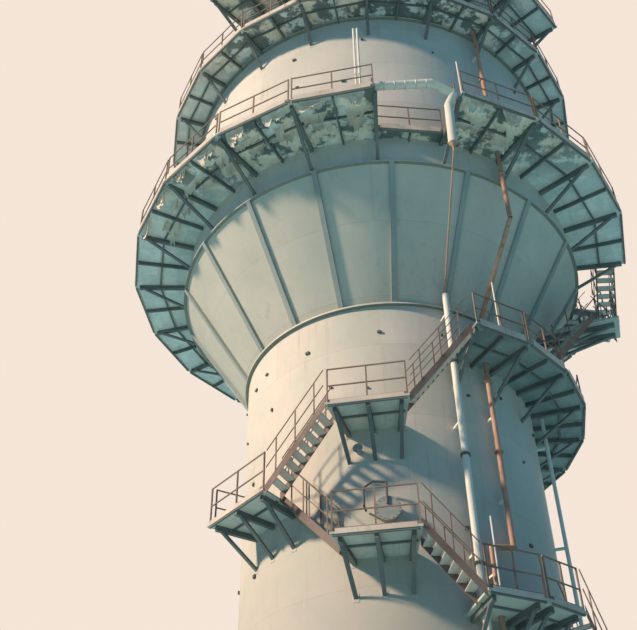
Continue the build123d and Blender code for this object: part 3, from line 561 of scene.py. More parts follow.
SHELL = dict(
    streak=(0.42, 0.4, 0.33),
    streak_amount=0.4,
    rust_cover=0.1,
    rust_amount=0.45,
    rust_scale=2.2,
    edge_amount=0.0,
    dust_amount=0.3,
    roughness=0.6,
    gloss=0.12,
)
# The deck plates' dark joint lines are partly plate joints and partly painted shadow of the
# stiffeners.
DECK = dict(
    rust_scale=2.0,
    patch_scale=0.8,
    dust_amount=0.5,
    edge_radius=0.012,
    plate_width=1.25,
    plate_row=0.64,
    lying=1.0,
    gloss=0.15,
)
FINISHES = (
    # Darker towards the bottom.
    Finish(
        "lower_shell_paint", (0.7, 0.69, 0.58), (0.86, 0.74, 0.64), patch_scale=0.5,
        plate_radius=LOWER_RADIUS, low_tone=(0.34, 0.32, 0.28), low_tone_amount=0.6, **SHELL,
    ),
    Finish(
        "upper_shell_paint", (0.7, 0.69, 0.6), (0.83, 0.75, 0.66), patch_scale=0.5,
        plate_radius=UPPER_RADIUS, plate_row=2.1, **SHELL,
    ),
    Finish(
        "cone_paint", (0.6, 0.58, 0.49), (0.74, 0.67, 0.56), plate_radius=5.5, plate_row=1.9,
        **SHELL,
    ),
    # Its downward faces get painted shade in its dark streak colour.
    Finish(
        "ring_paint", (0.62, 0.64, 0.56), (0.78, 0.74, 0.64), streak=(0.15, 0.17, 0.13),
        streak_amount=0.2, under=0.85, rust_scale=3.0, edge_radius=0.014,
    ),
    # Darker than the cone's paint: painted shade for the ribs' shadowed sides.
    Finish(
        "rib_shade_paint", (0.34, 0.39, 0.37), (0.46, 0.48, 0.43), streak=(0.2, 0.22, 0.2),
        streak_amount=0.35, rust_scale=3.0, edge_radius=0.014, gloss=0.12,
    ),
    # A pale copy of the deck plate: its pale tone is painted light on the galleries' undersides.
    # Its pale blots are painted sunlight.
    Finish(
        "deck_plate", (0.76, 0.83, 0.79), (0.88, 0.9, 0.84), streak=(0.34, 0.4, 0.37),
        rust_cover=0.16, pale=(0.98, 0.84, 0.66), dark=(0.06, 0.09, 0.08), plate_radius=7.5,
        plate_tone=0.3, **DECK,
    ),
    Finish(
        "landing_plate", (0.56, 0.6, 0.55), (0.7, 0.71, 0.63), streak=(0.34, 0.37, 0.33),
        plate_radius=5.2, plate_tone=0.3, **DECK,
    ),
    # A darker copy of the deck plate: painted shade on the ring walk's underside. Its pale blots
    # are painted sunlight.
    Finish(
        "shaded_walk_plate", (0.28, 0.36, 0.36), (0.4, 0.46, 0.43), streak=(0.14, 0.18, 0.17),
        rust_cover=0.22, pale=(0.6, 0.6, 0.53), plate_radius=5.2, plate_tone=0.4, **DECK,
    ),
    Finish(
        "bracket_primer", (0.12, 0.155, 0.155), (0.21, 0.22, 0.2), streak=(0.07, 0.08, 0.075),
        rust_cover=0.26, rust_scale=2.6, rust_amount=0.6, patch_scale=0.9, bare=(0.3, 0.24, 0.2),
    ),
    Finish(
        "rail_primer", (0.2, 0.135, 0.105), (0.32, 0.24, 0.19), streak=(0.1, 0.07, 0.055),
        rust_cover=0.3, rust_scale=5.0, rust_amount=0.6, patch_scale=1.4, bare=(0.4, 0.3, 0.24),
    ),
    Finish(
        "stair_primer", (0.17, 0.12, 0.1), (0.27, 0.2, 0.165), streak=(0.09, 0.065, 0.055),
        rust_cover=0.3, rust_amount=0.55, patch_scale=1.2, bare=(0.48, 0.4, 0.34),
    ),
    Finish(
        "tread_plate", (0.58, 0.54, 0.5), (0.72, 0.68, 0.6), streak=(0.27, 0.2, 0.17),
        rust_cover=0.26, patch_scale=1.2, bare=(0.36, 0.24, 0.17),
    ),
    Finish(
        "rusted_pipe", (0.5, 0.27, 0.18), (0.6, 0.39, 0.29), streak=(0.2, 0.1, 0.07),
        rust_cover=0.45, rust_scale=5.0, rust_amount=0.7, patch_scale=1.5, edge_amount=0.0,
    ),
    Finish(
        "white_pipe_paint", (0.86, 0.82, 0.72), (0.92, 0.88, 0.78), streak=(0.5, 0.4, 0.3),
        rust_cover=0.06, rust_scale=5.0, streak_amount=0.25, edge_amount=0.3, gloss=0.2,
    ),
    Finish(
        "lagging_jacket", (0.78, 0.72, 0.61), (0.88, 0.82, 0.71), streak=(0.42, 0.33, 0.25),
        rust_cover=0.08, rust_amount=0.25, streak_amount=0.35, grain_scale=26.0, bump=0.6,
        depth=0.012, edge_amount=0.0, roughness=0.8,
    ),
    Finish(
        "fitting_paint", (0.26, 0.32, 0.32), (0.4, 0.43, 0.4), rust_cover=0.26, rust_scale=6.0,
        rust_amount=0.7, patch_scale=1.8, edge_radius=0.012,
    ),
    Finish(
        "base_paint", (0.16, 0.19, 0.19), (0.27, 0.28, 0.26), rust_cover=0.32, rust_scale=3.0,
        rust_amount=0.7, patch_scale=0.8, dust_amount=0.6,
    ),
    Finish(
        "fascia_paint", (0.64, 0.53, 0.44), (0.8, 0.7, 0.59), streak=(0.32, 0.22, 0.17),
        rust_cover=0.3, rust_scale=3.0, rust_amount=0.65, streak_across=9.0, streak_along=2.0,
        streak_amount=0.6, bare=(0.36, 0.22, 0.15), patch_scale=1.0,
    ),
    Finish(
        "torn_lining", (0.94, 0.83, 0.68), (0.86, 0.73, 0.59), streak=(0.46, 0.36, 0.27),
        rust_cover=0.12, rust_scale=6.0, rust_amount=0.4, patch_scale=2.4, streak_amount=0.3,
        streak_across=14.0, streak_along=3.0, edge_amount=0.0, gloss=0.15,
    ),
    Finish(
        "bolt_zinc", (0.34, 0.34, 0.32), (0.46, 0.44, 0.4), rust_cover=0.4, rust_scale=9.0,
        rust_amount=0.8, metallic=0.6, roughness=0.5, edge_amount=0.0, streak_amount=0.2, gloss=0.5,
    ),
    Finish(
        "band_steel", (0.6, 0.58, 0.52), (0.72, 0.7, 0.63), rust_scale=9.0, rust_amount=0.6,
        metallic=0.4, roughness=0.5, edge_amount=0.0, gloss=0.5,
    ),
    Finish(
        "lug_scale", (0.08, 0.095, 0.095), (0.16, 0.16, 0.15), rust_cover=0.4, rust_scale=9.0,
        rust_amount=0.8, edge_amount=0.3,
    ),
)


class Bag:
    """Faces gathered into one joined mesh. A bolt's sizes are shares of its stud's radius."""

    washer_wide: float = 2.1
    washer_tall: float = 0.3
    nut_wide: float = 1.75
    nut_top: float = 1.62
    nut_tall: float = 1.6
    stud_top: float = 0.85

    def __init__(self, name: str) -> None:
        """Start an empty mesh under the piece's name."""
        self.name = name
        self.mesh = bmesh.new()

    def block(
        self, centre: Vector, size: Point, turn: float = 0.0, tilt: float = 0.0, bevel: float = 0.0
    ) -> None:
        """Add a box, long in its own X, Y and Z.

        Args:
            centre: Its middle.
            size: Its three lengths in metres.
            turn: Degrees about Z, 0 facing the front.
            tilt: Degrees about its own X before the turn.
            bevel: The width of its eased edges.
        """
        turned = Matrix.Rotation(math.radians(turn), 4, "Z")
        tilted = Matrix.Rotation(math.radians(tilt), 4, "X")
        place = Matrix.Translation(centre) @ (turned @ tilted) @ Matrix.Diagonal((*size, 1.0))
        made = bmesh.ops.create_cube(self.mesh, size=1.0, matrix=place)
        if bevel:
            edges = list({edge for vert in made["verts"] for edge in vert.link_edges})
            bmesh.ops.bevel(self.mesh, geom=edges, offset=bevel, segments=1, affect="EDGES")

    def rod(
        self, start: Vector, end: Vector, radius: float, sides: int = 8, top: float | None = None
    ) -> None:
        """Add a round or hexagonal bar between two points.

        Args:
            start: One end.
            end: The other end.
            radius: Its radius in metres.
            sides: How many flat sides it has.
            top: The radius at the other end, where that differs.
        """
        line = end - start
        spin = line.to_track_quat("Z", "Y").to_matrix().to_4x4()
        place = Matrix.Translation((start + end) / 2) @ spin
        bmesh.ops.create_cone(
            self.mesh, cap_ends=True, segments=sides, radius1=radius,
            radius2=radius if top is None else top, depth=line.length, matrix=place,
        )

    def post(
        self, foot: Vector, low: float, high: float, radius: float, sides: int,
        top: float | None = None,
    ) -> None:
        """Add an upright bar between two heights above a point."""
        self.rod(foot + UP * low, foot + UP * high, radius, sides, top)

    def bolt(self, foot: Vector, axis: Vector, radius: float, stud: float) -> None:
        """Add a washer, a hexagonal nut and the stud's end.

        Args:
            foot: Where the washer sits.
            axis: The way the stud points.
            radius: The stud's radius, which sets all other sizes.
            stud: How far the stud stands out past the washer's foot.
        """
        way = axis.normalized()
        washer = foot + way * radius * self.washer_tall
        nut = washer + way * radius * self.nut_tall
        self.rod(foot, washer, radius * self.washer_wide, sides=12)
        self.rod(washer, nut, radius * self.nut_wide, sides=6, top=radius * self.nut_top)
        self.rod(nut, foot + way * stud, radius, top=radius * self.stud_top)

    def finish(self, material: bpy.types.Material, slot: Slot, smooth: bool) -> None:
        """Turn the faces into a piece that rides on the root body.

        Args:
            material: Its material.
            slot: Not used.
            smooth: Whether its faces are shaded smooth.
        """
        bmesh.ops.recalc_face_normals(self.mesh, faces=self.mesh.faces)
        for face in self.mesh.faces:
            face.smooth = smooth
        data = bpy.data.meshes.new(self.name)
        self.mesh.to_mesh(data)
        self.mesh.free()
        data.materials.append(material)
        piece = bpy.data.objects.new(self.name, data)
        bpy.context.scene.collection.objects.link(piece)
        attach(piece, "root")
        LOG.info("%s: %d faces", self.name, len(data.polygons))


class PackedParts:
    """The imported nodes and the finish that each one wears."""

    slots: dict[Slot, str] = {
        Slot.SHELL: "lower_shell_paint",
        Slot.RING: "ring_paint",
        Slot.DECK: "deck_plate",
        Slot.BRACKET: "bracket_primer",
        Slot.RAIL: "rail_primer",
        Slot.STAIR: "stair_primer",
        Slot.RUSTY: "rusted_pipe",
        Slot.WHITE: "white_pipe_paint",
        Slot.LAGGING: "lagging_jacket",
        Slot.FITTING: "fitting_paint",
        Slot.BASE: "base_paint",
    }
    special: dict[str, str] = {
        "cone_shell": "cone_paint",
        "upper_shell": "upper_shell_paint",
        "roof_cone": "cone_paint",
        "outlet_stub": "upper_shell_paint",
        "stair_treads": "tread_plate",
        "hung_treads": "tread_plate",
        "davit_arm": "lug_scale",
        "cone_ribs": "rib_shade_paint",
        "ring_walk_deck": "shaded_walk_plate",
        "landing_decks": "landing_plate",
    }

    def dress(self, frame: dict, materials: Materials) -> None:
        """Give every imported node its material.

        Args:
            materials: The finished materials by name.
        """
        slot_of = {part["node"]: part["material_slot"] for part in frame["record"]["subparts"]}
        for name, piece in frame["nodes"].items():
            finish = self.special.get(name) or self.slots[Slot(slot_of[name])]
            if not piece.material_slots:
                piece.data.materials.append(materials[finish])
            for holder in piece.material_slots:
                holder.material = materials[finish]
            LOG.info("%s wears %s", name, finish)


class Trim:
    """One joined piece of added trim. Each kind fills in its own faces."""

    name: str
    finish: str
    slot: Slot
    bag: Bag
    smooth: bool = False

    def fill(self) -> None:
        """Add the piece's faces to its mesh."""
        raise NotImplementedError

    def build(self, materials: Materials) -> None:
        """Build the piece.

        Args:
            materials: The finished materials by name.
        """
        self.bag = Bag(self.name)
        self.fill()
        self.bag.finish(materials[self.finish], self.slot, self.smooth)


@dataclass
class AnchorNuts(Trim):
    """Studs with nuts round the base ring."""

    name: str = "anchor_nuts"
    circle: float = 4.64
    level: float = 0.37
    count: int = 24
    first: float = 90.0
    radius: float = 0.021
    stud: float = 0.1
    finish: str = "bolt_zinc"
    slot: Slot = Slot.FITTING

    def fill(self) -> None:
        """Set a nut on every stud."""
        for number in range(self.count):
            spot = at(self.first + number * 360 / self.count, self.circle, self.level)
            self.bag.bolt(spot, UP, self.radius, self.stud)


@dataclass
class FlangeNuts(Trim):
    """Studs with nuts round an upright flange on the lower shell."""

    name: str
    azimuth: float
    reach: float
    level: float
    circle: float
    count: int
    phase: float
    radius: float
    stud: float
    finish: str = "bolt_zinc"
    slot: Slot = Slot.FITTING

    def fill(self) -> None:
        """Set a nut on every stud of the bolt circle."""
        out = at(self.azimuth, 1.0, 0.0)
        side = at(self.azimuth + 90, 1.0, 0.0)
        for number in range(self.count):
            angle = 2 * math.pi * (number + self.phase) / self.count
            spot = out * self.reach + side * (self.circle * math.cos(angle))
            spot.z = self.level + self.circle * math.sin(angle)
            self.bag.bolt(spot, out, self.radius, self.stud)


@dataclass
class DeckStiffeners(Trim):
    """Angle bars under a walk's panels, along the flat sides of its polygon."""

    name: str
    walk: Walkway
    lines: int
    depth: float = 0.07
    flange: float = 0.05
    plate: float = 0.01
    inner_gap: float = 0.12
    outer_gap: float = 0.02
    end_gap: float = 0.07
    finish: str = "bracket_primer"
    slot: Slot = Slot.BRACKET

    def fill(self) -> None:
        """Lay the web and the flange of every bar."""
        half = math.radians(self.walk.sweep / 2)
        low = self.walk.inner + self.inner_gap
        high = self.walk.outer * math.cos(half) - self.outer_gap
        for number in self.walk.numbers:
            middle = self.walk.edge(number + 0.5)
            for line in range(self.lines):
                reach = low + (high - low) * (line + 1) / self.lines
                length = 2 * (reach * math.tan(half) - self.end_gap)
                web = at(middle, reach, self.walk.under - self.depth / 2)
                self.bag.block(web, (length, self.plate, self.depth), middle)
                foot = self.walk.under - self.depth + self.plate / 2
                flange = at(middle, reach - self.flange / 2, foot)
                self.bag.block(flange, (length, self.flange, self.plate), middle)


@dataclass
class DeckFascia(Trim):
    """Edge plates with a lip along the outer flats of a walk's panels."""

    name: str
    walk: Walkway
    tall: float = 0.2
    plate: float = 0.004
    short: float = 0.14
    lip: float = 0.045
    lip_in: float = 0.02
    finish: str = "fascia_paint"
    slot: Slot = Slot.DECK

    def fill(self) -> None:
        """Set the plate and the lip of every panel."""
        half = math.radians(self.walk.sweep / 2)
        length = 2 * (self.walk.outer * math.sin(half) - self.short)
        reach = self.walk.outer * math.cos(half) + self.plate / 2
        for number in self.walk.numbers:
            middle = self.walk.edge(number + 0.5)
            foot = at(middle, reach, self.walk.under + self.tall / 2)
            self.bag.block(foot, (length, self.plate, self.tall), middle)
            lip = at(middle, reach - self.lip_in, self.walk.under - self.plate / 2)
            self.bag.block(lip, (length, self.lip, self.plate), middle)


@dataclass
class WeldPads(Trim):
    """Doubler plates on a shell behind each beam and knee brace."""

    name: str
    radius: float
    finish: str
    rows: Sequence[tuple[Sequence[float], float, float]]
    beam_pad: Point = (0.18, 0.012, 0.26)
    foot_pad: Point = (0.16, 0.012, 0.22)
    stand: float = 0.004
    beam_drop: float = 0.075
    foot_rise: float = 0.04
    bevel: float = 0.004
    slot: Slot = Slot.SHELL

    def fill(self) -> None:
        """Set the two pads of every bracket, for rows of azimuths, top level and brace drop."""
        for azimuths, top, drop in self.rows:
            for azimuth in azimuths:
                upper = at(azimuth, self.radius + self.stand, top - self.beam_drop)
                self.bag.block(upper, self.beam_pad, azimuth, 0.0, self.bevel)
                lower = at(azimuth, self.radius + self.stand, top - drop + self.foot_rise)
                self.bag.block(lower, self.foot_pad, azimuth, 0.0, self.bevel)


@dataclass
class TornSheets(Trim):
    """Old lining that has torn loose and hangs under the main gallery's front."""

    name: str = "torn_lining"
    seed: int = 23
    cells: tuple[float, ...] = (-62.3, -53.7, -45.1, -36.6, -28.0, -19.4, -10.9, -2.3, 23.4, 32.0)
    rows: tuple[tuple[float, int], ...] = ((8.41, 4), (7.9, 2), (7.52, 2))
    top: float = 25.439
    columns: int = 9
    steps: int = 6
    plate: float = 0.006
    width: tuple[float, float] = (0.2, 0.7)
    hang: tuple[float, float] = (0.2, 0.62)
    curl: tuple[float, float] = (75, 105)
    shift: float = 0.28
    taper: float = 5.0
    taper_power: float = 3
    ragged: tuple[float, float] = (0.5, 1.0)
    droop: float = 0.35
    wobble: float = 0.008
    finish: str = "torn_lining"
    slot: Slot = Slot.DECK

    def sheet(self, chance: random.Random, cell: float, reach: float) -> None:
        """Hang one ragged sheet that curls down and inward.

        Args:
            chance: The seeded random numbers.
            cell: The azimuth of the middle of its bay.
            reach: The distance from the axis where it still holds.
        """
        mesh = self.bag.mesh
        width = chance.uniform(*self.width)
        hang = chance.uniform(*self.hang)
        curl = math.radians(chance.uniform(*self.curl))
        side = at(cell + 90, 1.0, 0.0)
        start = at(cell, reach, self.top) + side * chance.uniform(-self.shift, self.shift)
        inward = at(cell + 180, 1.0, 0.0)
        rows = []
        for column in range(self.columns):
            share = column / (self.columns - 1) - 0.5
            edge = 1.0 - self.taper * abs(share) ** self.taper_power
            piece = hang * edge * chance.uniform(*self.ragged) / self.steps
            spot = start + side * (width * share)
            row = [mesh.verts.new(spot)]
            for step in range(1, self.steps + 1):
                angle = curl * (step / self.steps) ** self.droop
                spot = spot + inward * (math.cos(angle) * piece) - UP * (math.sin(angle) * piece)
                spot = spot + side * chance.uniform(-self.wobble, self.wobble)
                row.append(mesh.verts.new(spot))
            rows.append(row)
        faces = [
            mesh.faces.new((low[step], low[step + 1], high[step + 1], high[step]))
            for low, high in zip(rows, rows[1:])
            for step in range(self.steps)
        ]
        mesh.normal_update()
        bmesh.ops.solidify(mesh, geom=faces, thickness=self.plate)

    def fill(self) -> None:
        """Hang the sheets of every bay."""
        chance = random.Random(self.seed)
        for cell in self.cells:
            for reach, count in self.rows:
                for _ in range(count):
                    self.sheet(chance, cell, reach)


@dataclass
class ShellLugs(Trim):
    """Small leftover erection lugs welded to the shells, in rows of level, radius and count."""

    name: str = "erection_lugs"
    seed: int = 11
    rows: tuple[tuple[float, float, int], ...] = (
        (19.6, LOWER_RADIUS, 16),
        (17.9, LOWER_RADIUS, 14),
        (16.1, LOWER_RADIUS, 12),
        (13.4, LOWER_RADIUS, 14),
        (10.4, LOWER_RADIUS, 12),
        (8.2, LOWER_RADIUS, 12),
        (5.4, LOWER_RADIUS, 12),
        (28.6, UPPER_RADIUS, 16),
        (30.6, UPPER_RADIUS, 14),
    )
    turn: float = 8
    lift: float = 0.35
    width: tuple[float, float] = (0.05, 0.13)
    height: tuple[float, float] = (0.05, 0.1)
    depth: float = 0.06
    stand: float = 0.022
    bevel: float = 0.006
    finish: str = "lug_scale"
    slot: Slot = Slot.FITTING

    def fill(self) -> None:
        """Scatter the lugs of every row."""
        chance = random.Random(self.seed)
        for level, radius, count in self.rows:
            for number in range(count):
                azimuth = number * 360 / count + chance.uniform(-self.turn, self.turn)
                height = level + chance.uniform(-self.lift, self.lift)
                spot = at(azimuth, radius + self.stand, height)
                size = (chance.uniform(*self.width), self.depth, chance.uniform(*self.height))
                self.bag.block(spot, size, azimuth, 0.0, self.bevel)


@dataclass(frozen=True)
class Upright:
    """A stretch of upright pipe and the levels of its joints."""

    azimuth: float
    distance: float
    radius: float
    levels: tuple[float, ...]


@dataclass
class PipeFittings(Trim):
    """Pairs of collars on upright pipes, bolted where they are flanges."""

    name: str
    finish: str
    slot: Slot
    pipes: tuple[Upright, ...]
    apart: float
    grow: float
    tall: float
    bolts: int = 0
    bolt_radius: float = 0.009
    bolt_out: float = 0.03
    bolt_ends: tuple[float, float] = (-0.045, 0.045)
    sides: int = 28

    def fill(self) -> None:
        """Put the collars and bolts on every joint."""
        for pipe in self.pipes:
            for level in pipe.levels:
                foot = at(pipe.azimuth, pipe.distance, level)
                for middle in (-self.apart, self.apart):
                    low, high = middle - self.tall / 2, middle + self.tall / 2
                    self.bag.post(foot, low, high, pipe.radius + self.grow, self.sides)
                for number in range(self.bolts):
                    spot = foot + at(number * 360 / self.bolts, pipe.radius + self.bolt_out, 0.0)
                    self.bag.post(spot, *self.bolt_ends, self.bolt_radius, 6)


@dataclass
class LaggingBands(Trim):
    """Steel straps on the lagged pipe."""

    name: str = "lagging_bands"
    start: Point = (0.6, 8.3, 25.8)
    end: Point = (13.5, 8.4, 25.9)
    radius: float = 0.135
    wide: float = 0.036
    count: int = 6
    sides: int = 32
    finish: str = "band_steel"
    slot: Slot = Slot.WHITE
    smooth: bool = True

    def fill(self) -> None:
        """Put the straps round the pipe at even steps."""
        first, last = at(*self.start), at(*self.end)
        half = (last - first).normalized() * self.wide / 2
        for number in range(self.count):
            spot = first.lerp(last, (number + 0.5) / self.count)
            self.bag.rod(spot - half, spot + half, self.radius, self.sides)


@dataclass
class PoleTrim(Trim):
    """Foot plates, small bolts and caps on the poles, as wide as shares of each pole's radius."""

    name: str = "pole_trim"
    poles: tuple[tuple[float, float, float, float, float], ...] = (
        (-1.7, 8.3, 25.5, 0.035, 3.4),
        (-0.9, 8.3, 25.5, 0.035, 3.4),
        (20.0, 8.3, 25.5, 0.022, 1.9),
        (33.4, 5.85, 18.9, 0.022, 1.9),
        (23.5, 5.6, 11.3, 0.022, 1.9),
    )
    plate: float = 0.012
    socket: float = 0.05
    bolt: float = 0.026
    cap: float = 0.03
    plate_wide: float = 1.75
    socket_wide: float = 1.2
    bolt_reach: float = 1.45
    bolt_wide: float = 0.18
    cap_wide: float = 1.15
    cap_top: float = 0.8
    sides: int = 20
    finish: str = "white_pipe_paint"
    slot: Slot = Slot.WHITE

    def fill(self) -> None:
        """Trim every pole, given by azimuth, distance, level, radius and height."""
        for azimuth, distance, level, radius, height in self.poles:
            foot = at(azimuth, distance, level)
            self.bag.post(foot, 0.0, self.plate, radius * self.plate_wide, self.sides)
            self.bag.post(foot, self.plate, self.socket, radius * self.socket_wide, self.sides)
            for turn in range(45, 360, 90):
                spot = foot + at(turn, radius * self.bolt_reach, 0.0)
                self.bag.post(spot, self.plate, self.bolt, radius * self.bolt_wide, 6)
            low, high, top = height - self.cap, height + self.plate, radius * self.cap_top
            self.bag.post(foot, low, high, radius * self.cap_wide, self.sides, top)


@dataclass
class Housings(Trim):
    """Lids, door frames and vents on the four roof housings."""

    name: str = "housing_trim"
    azimuths: tuple[float, ...] = (45, 135, 225, 315)
    distance: float = 4.4
    side: float = 0.9
    top: float = 36.9
    lid: Point = (1.0, 1.0, 0.06)
    lid_rise: float = 0.02
    lid_bevel: float = 0.01
    door: tuple[float, float] = (0.56, 0.6)
    door_drop: float = 0.42
    upright: Point = (0.03, 0.016, 0.62)
    crossbar: Point = (0.59, 0.016, 0.03)
    slat: Point = (0.36, 0.02, 0.012)
    slats: int = 5
    slat_foot: float = 0.04
    slat_step: float = 0.045
    slat_tilt: float = 35
    finish: str = "fitting_paint"
    slot: Slot = Slot.FITTING

    def fill(self) -> None:
        """Add the lid, the door frame and the vent of each housing."""
        wide, tall = self.door
        front = self.distance + (self.side + self.upright[1]) / 2
        for azimuth in self.azimuths:
            lid = at(azimuth, self.distance, self.top + self.lid_rise)
            self.bag.block(lid, self.lid, azimuth, 0, self.lid_bevel)
            face = at(azimuth, front, self.top - self.door_drop)
            across = at(azimuth + 90, 1.0, 0.0)
            for share in (-0.5, 0.5):
                self.bag.block(face + across * (share * wide), self.upright, azimuth)
                self.bag.block(face + UP * (share * tall), self.crossbar, azimuth)
            for row in range(self.slats):
                spot = face + UP * (self.slat_foot + row * self.slat_step)
                self.bag.block(spot, self.slat, azimuth, self.slat_tilt)


@dataclass(frozen=True)
class Lamp:
    """A broad soft lamp that shines from a direction, with its height and width in degrees."""

    name: str
    azimuth: float
    height: float
    strength: float
    colour: Colour
    soft: float
    away: float = 60

    def build(self) -> None:
        """Hang the lamp and turn it to the vessel."""
        data = bpy.data.lights.new(self.name, "SUN")
        data.energy = self.strength
        data.color = self.colour
        data.angle = math.radians(self.soft)
        lamp = bpy.data.objects.new(self.name, data)
        height = math.radians(self.height)
        source = at(self.azimuth, math.cos(height), math.sin(height))
        lamp.rotation_euler = source.to_track_quat("Z", "Y").to_euler()
        lamp.location = source * self.away
        bpy.context.scene.collection.objects.link(lamp)


@dataclass
class Studio:
    """Camera, lamps, floor and the pale air behind.

    Rays that only light the object get other tones from the air and the floor than those seen.
    """

    eye: Point = (0.0, -25.694, 1.6)
    turn: float = -4.766
    pitch: float = 41.404
    roll: float = -0.704
    sensor: float = 36
    focal_pixels: float = 986.465
    frame_pixels: float = 637
    view_end: float = 500
    lamps: tuple[Lamp, ...] = (
        Lamp("key_lamp", -63, 30, 4.5, (1.0, 0.78, 0.59), 5),
        Lamp("back_lamp", 172, 32, 1.5, (0.86, 0.93, 1.0), 30),
    )
    backdrop: Colour = (0.91, 0.785, 0.685)
    fill: Colour = (0.15, 0.54, 1.0)
    fill_strength: float = 0.31
    floor_radius: float = 140
    floor_sides: int = 96
    floor_seen: Colour = (0.7, 0.64, 0.58)
    floor_steep: Colour = (0.6, 1.0, 1.0)
    floor_flat: Colour = (0.0, 0.12, 0.2)
    floor_blend: float = 0.75
    floor_rough: float = 0.9

    def camera(self) -> None:
        """Place the camera at the photo's viewing angle."""
        data = bpy.data.cameras.new("viewpoint")
        data.lens = self.focal_pixels * self.sensor / self.frame_pixels
        data.sensor_width = self.sensor
        data.clip_end = self.view_end
        turn, pitch, roll = (math.radians(part) for part in (self.turn, self.pitch, self.roll))
        ahead = Vector(
            (math.sin(turn) * math.cos(pitch), math.cos(turn) * math.cos(pitch), math.sin(pitch))
        )
        level = Vector((math.cos(turn), -math.sin(turn), 0.0))
        above = level.cross(ahead)
        right = level * math.cos(roll) + above * math.sin(roll)
        up = above * math.cos(roll) - level * math.sin(roll)
        spin = Matrix((right, up, -ahead)).transposed().to_4x4()
        camera = bpy.data.objects.new("viewpoint", data)
        camera.matrix_world = Matrix.Translation(self.eye) @ spin
        bpy.context.scene.collection.objects.link(camera)
        bpy.context.scene.camera = camera

    def seen(self, graph: Graph) -> Socket:
        """Tell rays that show a surface from rays that only light the object.

        Args:
            graph: The material's or world's graph.

        Returns:
            1 for rays that are seen directly, mirrored or through glass.
        """
        path = graph.node("ShaderNodeLightPath").outputs
        shown = graph.math("MAXIMUM", path["Is Camera Ray"], path["Is Glossy Ray"])
        return graph.math("MAXIMUM", shown, path["Is Transmission Ray"])

    def air(self) -> None:
        """Make the even fill light and the pale backdrop."""
        world = bpy.data.worlds.new("studio_air")
        bpy.context.scene.world = world
        world.use_nodes = True
        world.node_tree.nodes.clear()
        graph = Graph(world.node_tree)
        inputs = {"Color": self.fill, "Strength": self.fill_strength}
        fill = graph.node("ShaderNodeBackground", inputs)
        shown = graph.node("ShaderNodeBackground", {"Color": self.backdrop})
        inputs = {0: self.seen(graph), 1: fill.outputs[0], 2: shown.outputs[0]}
        chosen = graph.node("ShaderNodeMixShader", inputs)
        graph.node("ShaderNodeOutputWorld", {0: chosen.outputs[0]})

    def floor(self) -> None:
        """Lay the plain pale floor."""
        circle = bmesh.new()
        bmesh.ops.create_circle(
            circle, cap_ends=True, segments=self.floor_sides, radius=self.floor_radius
        )
        data = bpy.data.meshes.new("studio_floor")
        circle.to_mesh(data)
        circle.free()
        material = bpy.data.materials.new("studio_floor")
        material.use_nodes = True
        shader = material.node_tree.nodes["Principled BSDF"]
        graph = Graph(material.node_tree)
        slant = graph.node("ShaderNodeLayerWeight", {"Blend": self.floor_blend})
        bounce = graph.mix(slant.outputs["Facing"], self.floor_steep, self.floor_flat)
        tone = graph.mix(self.seen(graph), bounce, self.floor_seen)
        graph.feed(shader.inputs["Base Color"], tone)
        graph.feed(shader.inputs["Roughness"], self.floor_rough)
        data.materials.append(material)
        floor = bpy.data.objects.new("studio_floor", data)
        bpy.context.scene.collection.objects.link(floor)

    def build(self) -> None:
        """Set up the whole studio."""
        self.camera()
        for lamp in self.lamps:
            lamp.build()
        self.air()
        self.floor()
        bpy.context.scene.view_settings.view_transform = "Standard"


def flange_nuts(turned: float = 0.9995, sunk: float = 0.02) -> tuple[Trim, ...]:
    """Place the nuts of the base ring, the manway cover and the side nozzle.

    Args:
        turned: The share of the manway cover's box that its slightly turned face reaches.
        sunk: How far behind that face the manway's washers start.

    Returns:
        Their pieces.
    """
    cover = abs(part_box("manway_cover")[0][1]) * turned
    low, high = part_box("side_nozzle")
    return (
        AnchorNuts(),
        FlangeNuts(
            "manway_nuts", azimuth=-1.6, reach=cover - sunk, level=13.85,
            circle=0.293, count=16, phase=0.0, radius=0.01, stud=0.045,
        ),
        FlangeNuts(
            "nozzle_nuts", azimuth=-10.0, reach=4.625, level=(low[2] + high[2]) / 2,
            circle=0.104, count=8, phase=0.5, radius=0.007, stud=0.026,
        ),
    )


def deck_trim() -> tuple[Trim, ...]:
    """Place the stiffening bars and edge plates of every gallery and landing.

    Returns:
        Their pieces.
    """
    walks = {"main": MAIN, "recess": RECESS, "upper": UPPER, "roof": ROOF, "ring_walk": RING}
    landings = [
        piece
        for number, walk in enumerate(LANDINGS, 1)
        for piece in (
            DeckStiffeners(f"landing_{number}_angles", walk, 2, depth=0.05),
            DeckFascia(f"landing_{number}_fascia", walk, tall=0.13),
        )
    ]
    return (
        DeckStiffeners("main_gallery_angles", MAIN, 2),
        DeckStiffeners("recess_angles", RECESS, 1),
        DeckStiffeners("upper_angles", UPPER, 2),
        DeckStiffeners("roof_angles", ROOF, 2),
        DeckStiffeners("ring_walk_angles", RING, 2),
        *(DeckFascia(f"{name}_fascia", walk) for name, walk in walks.items()),
        *landings,
    )


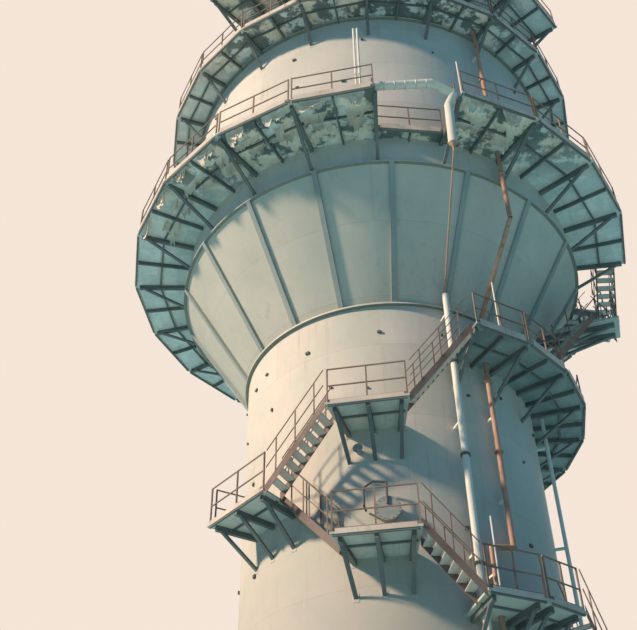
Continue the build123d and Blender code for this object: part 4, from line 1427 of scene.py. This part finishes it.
def weld_pads(
    walk_inset: float = 0.7, landing_inset: float = 2.0, wide: float = 20,
    walk_drop: float = 1.1, landing_drop: float = 1.0,
) -> tuple[Trim, ...]:
    """Place the pads behind the brackets of the galleries, the ring walk and the landings.

    Args:
        walk_inset: How far an end bracket stands inside a walk's end, in degrees.
        landing_inset: The same on a landing.
        wide: The sweep above which a landing has a middle bracket, in degrees.
        walk_drop: How far a walk's knee braces reach down.
        landing_drop: How far a landing's knee braces reach down.

    Returns:
        The pads of each shell.
    """
    closed = [UPPER.edge(number) for number in UPPER.numbers]
    # The main gallery is open between its edges 5 and 6.
    ends = {5: -walk_inset, 6: walk_inset}
    opened = [MAIN.edge(number, ends.get(number, 0.0)) for number in UPPER.numbers]
    landings = [(walk.edges(landing_inset), walk.under, landing_drop) for walk in LANDINGS]
    broad = [walk for walk in LANDINGS if walk.sweep > wide]
    middles = [([walk.edge(0.5)], walk.under, landing_drop) for walk in broad]
    upper = (
        (opened, MAIN.under, walk_drop),
        (closed, UPPER.under, walk_drop),
        (ROOF.edges(walk_inset), ROOF.under, walk_drop),
    )
    lower = ((RING.edges(walk_inset), RING.under, walk_drop), *landings, *middles)
    return (
        WeldPads("upper_weld_pads", UPPER_RADIUS, "upper_shell_paint", upper),
        WeldPads("lower_weld_pads", LOWER_RADIUS, "lower_shell_paint", lower),
    )


def pipe_fittings() -> tuple[Trim, ...]:
    """Place the couplings of the white pipe and the flanges of the rusty one.

    Returns:
        Their pieces.
    """
    white = (Upright(23.5, 4.79, 0.09, (18.4, 15.4, 12.4, 9.4, 6.4, 3.4)),)
    rusty = (
        Upright(37.8, 4.64, 0.07, (18.2, 15.9)),
        Upright(34.4, 6.95, 0.07, (24.4, 29.2)),
        Upright(29.5, 4.64, 0.07, (10.4, 6.9, 3.2)),
    )
    return (
        PipeFittings(
            "downpipe_couplings", "lug_scale", Slot.FITTING, white, apart=0.016, grow=0.042,
            tall=0.024,
        ),
        PipeFittings(
            "riser_flanges", "rusted_pipe", Slot.RUSTY, rusty, apart=0.014, grow=0.05, tall=0.022,
            bolts=8,
        ),
    )


def main() -> None:
    logging.basicConfig(level=logging.INFO, format="%(message)s")
    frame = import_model()
    Studio().build()
    effects = Effects()
    materials = {finish.name: finish.build(effects) for finish in FINISHES}
    PackedParts().dress(frame, materials)
    pieces = (
        *flange_nuts(), *deck_trim(), *weld_pads(), TornSheets(), ShellLugs(), *pipe_fittings(),
        LaggingBands(), PoleTrim(), Housings(),
    )
    for piece in pieces:
        piece.build(materials)


if __name__ == "__main__":
    main()
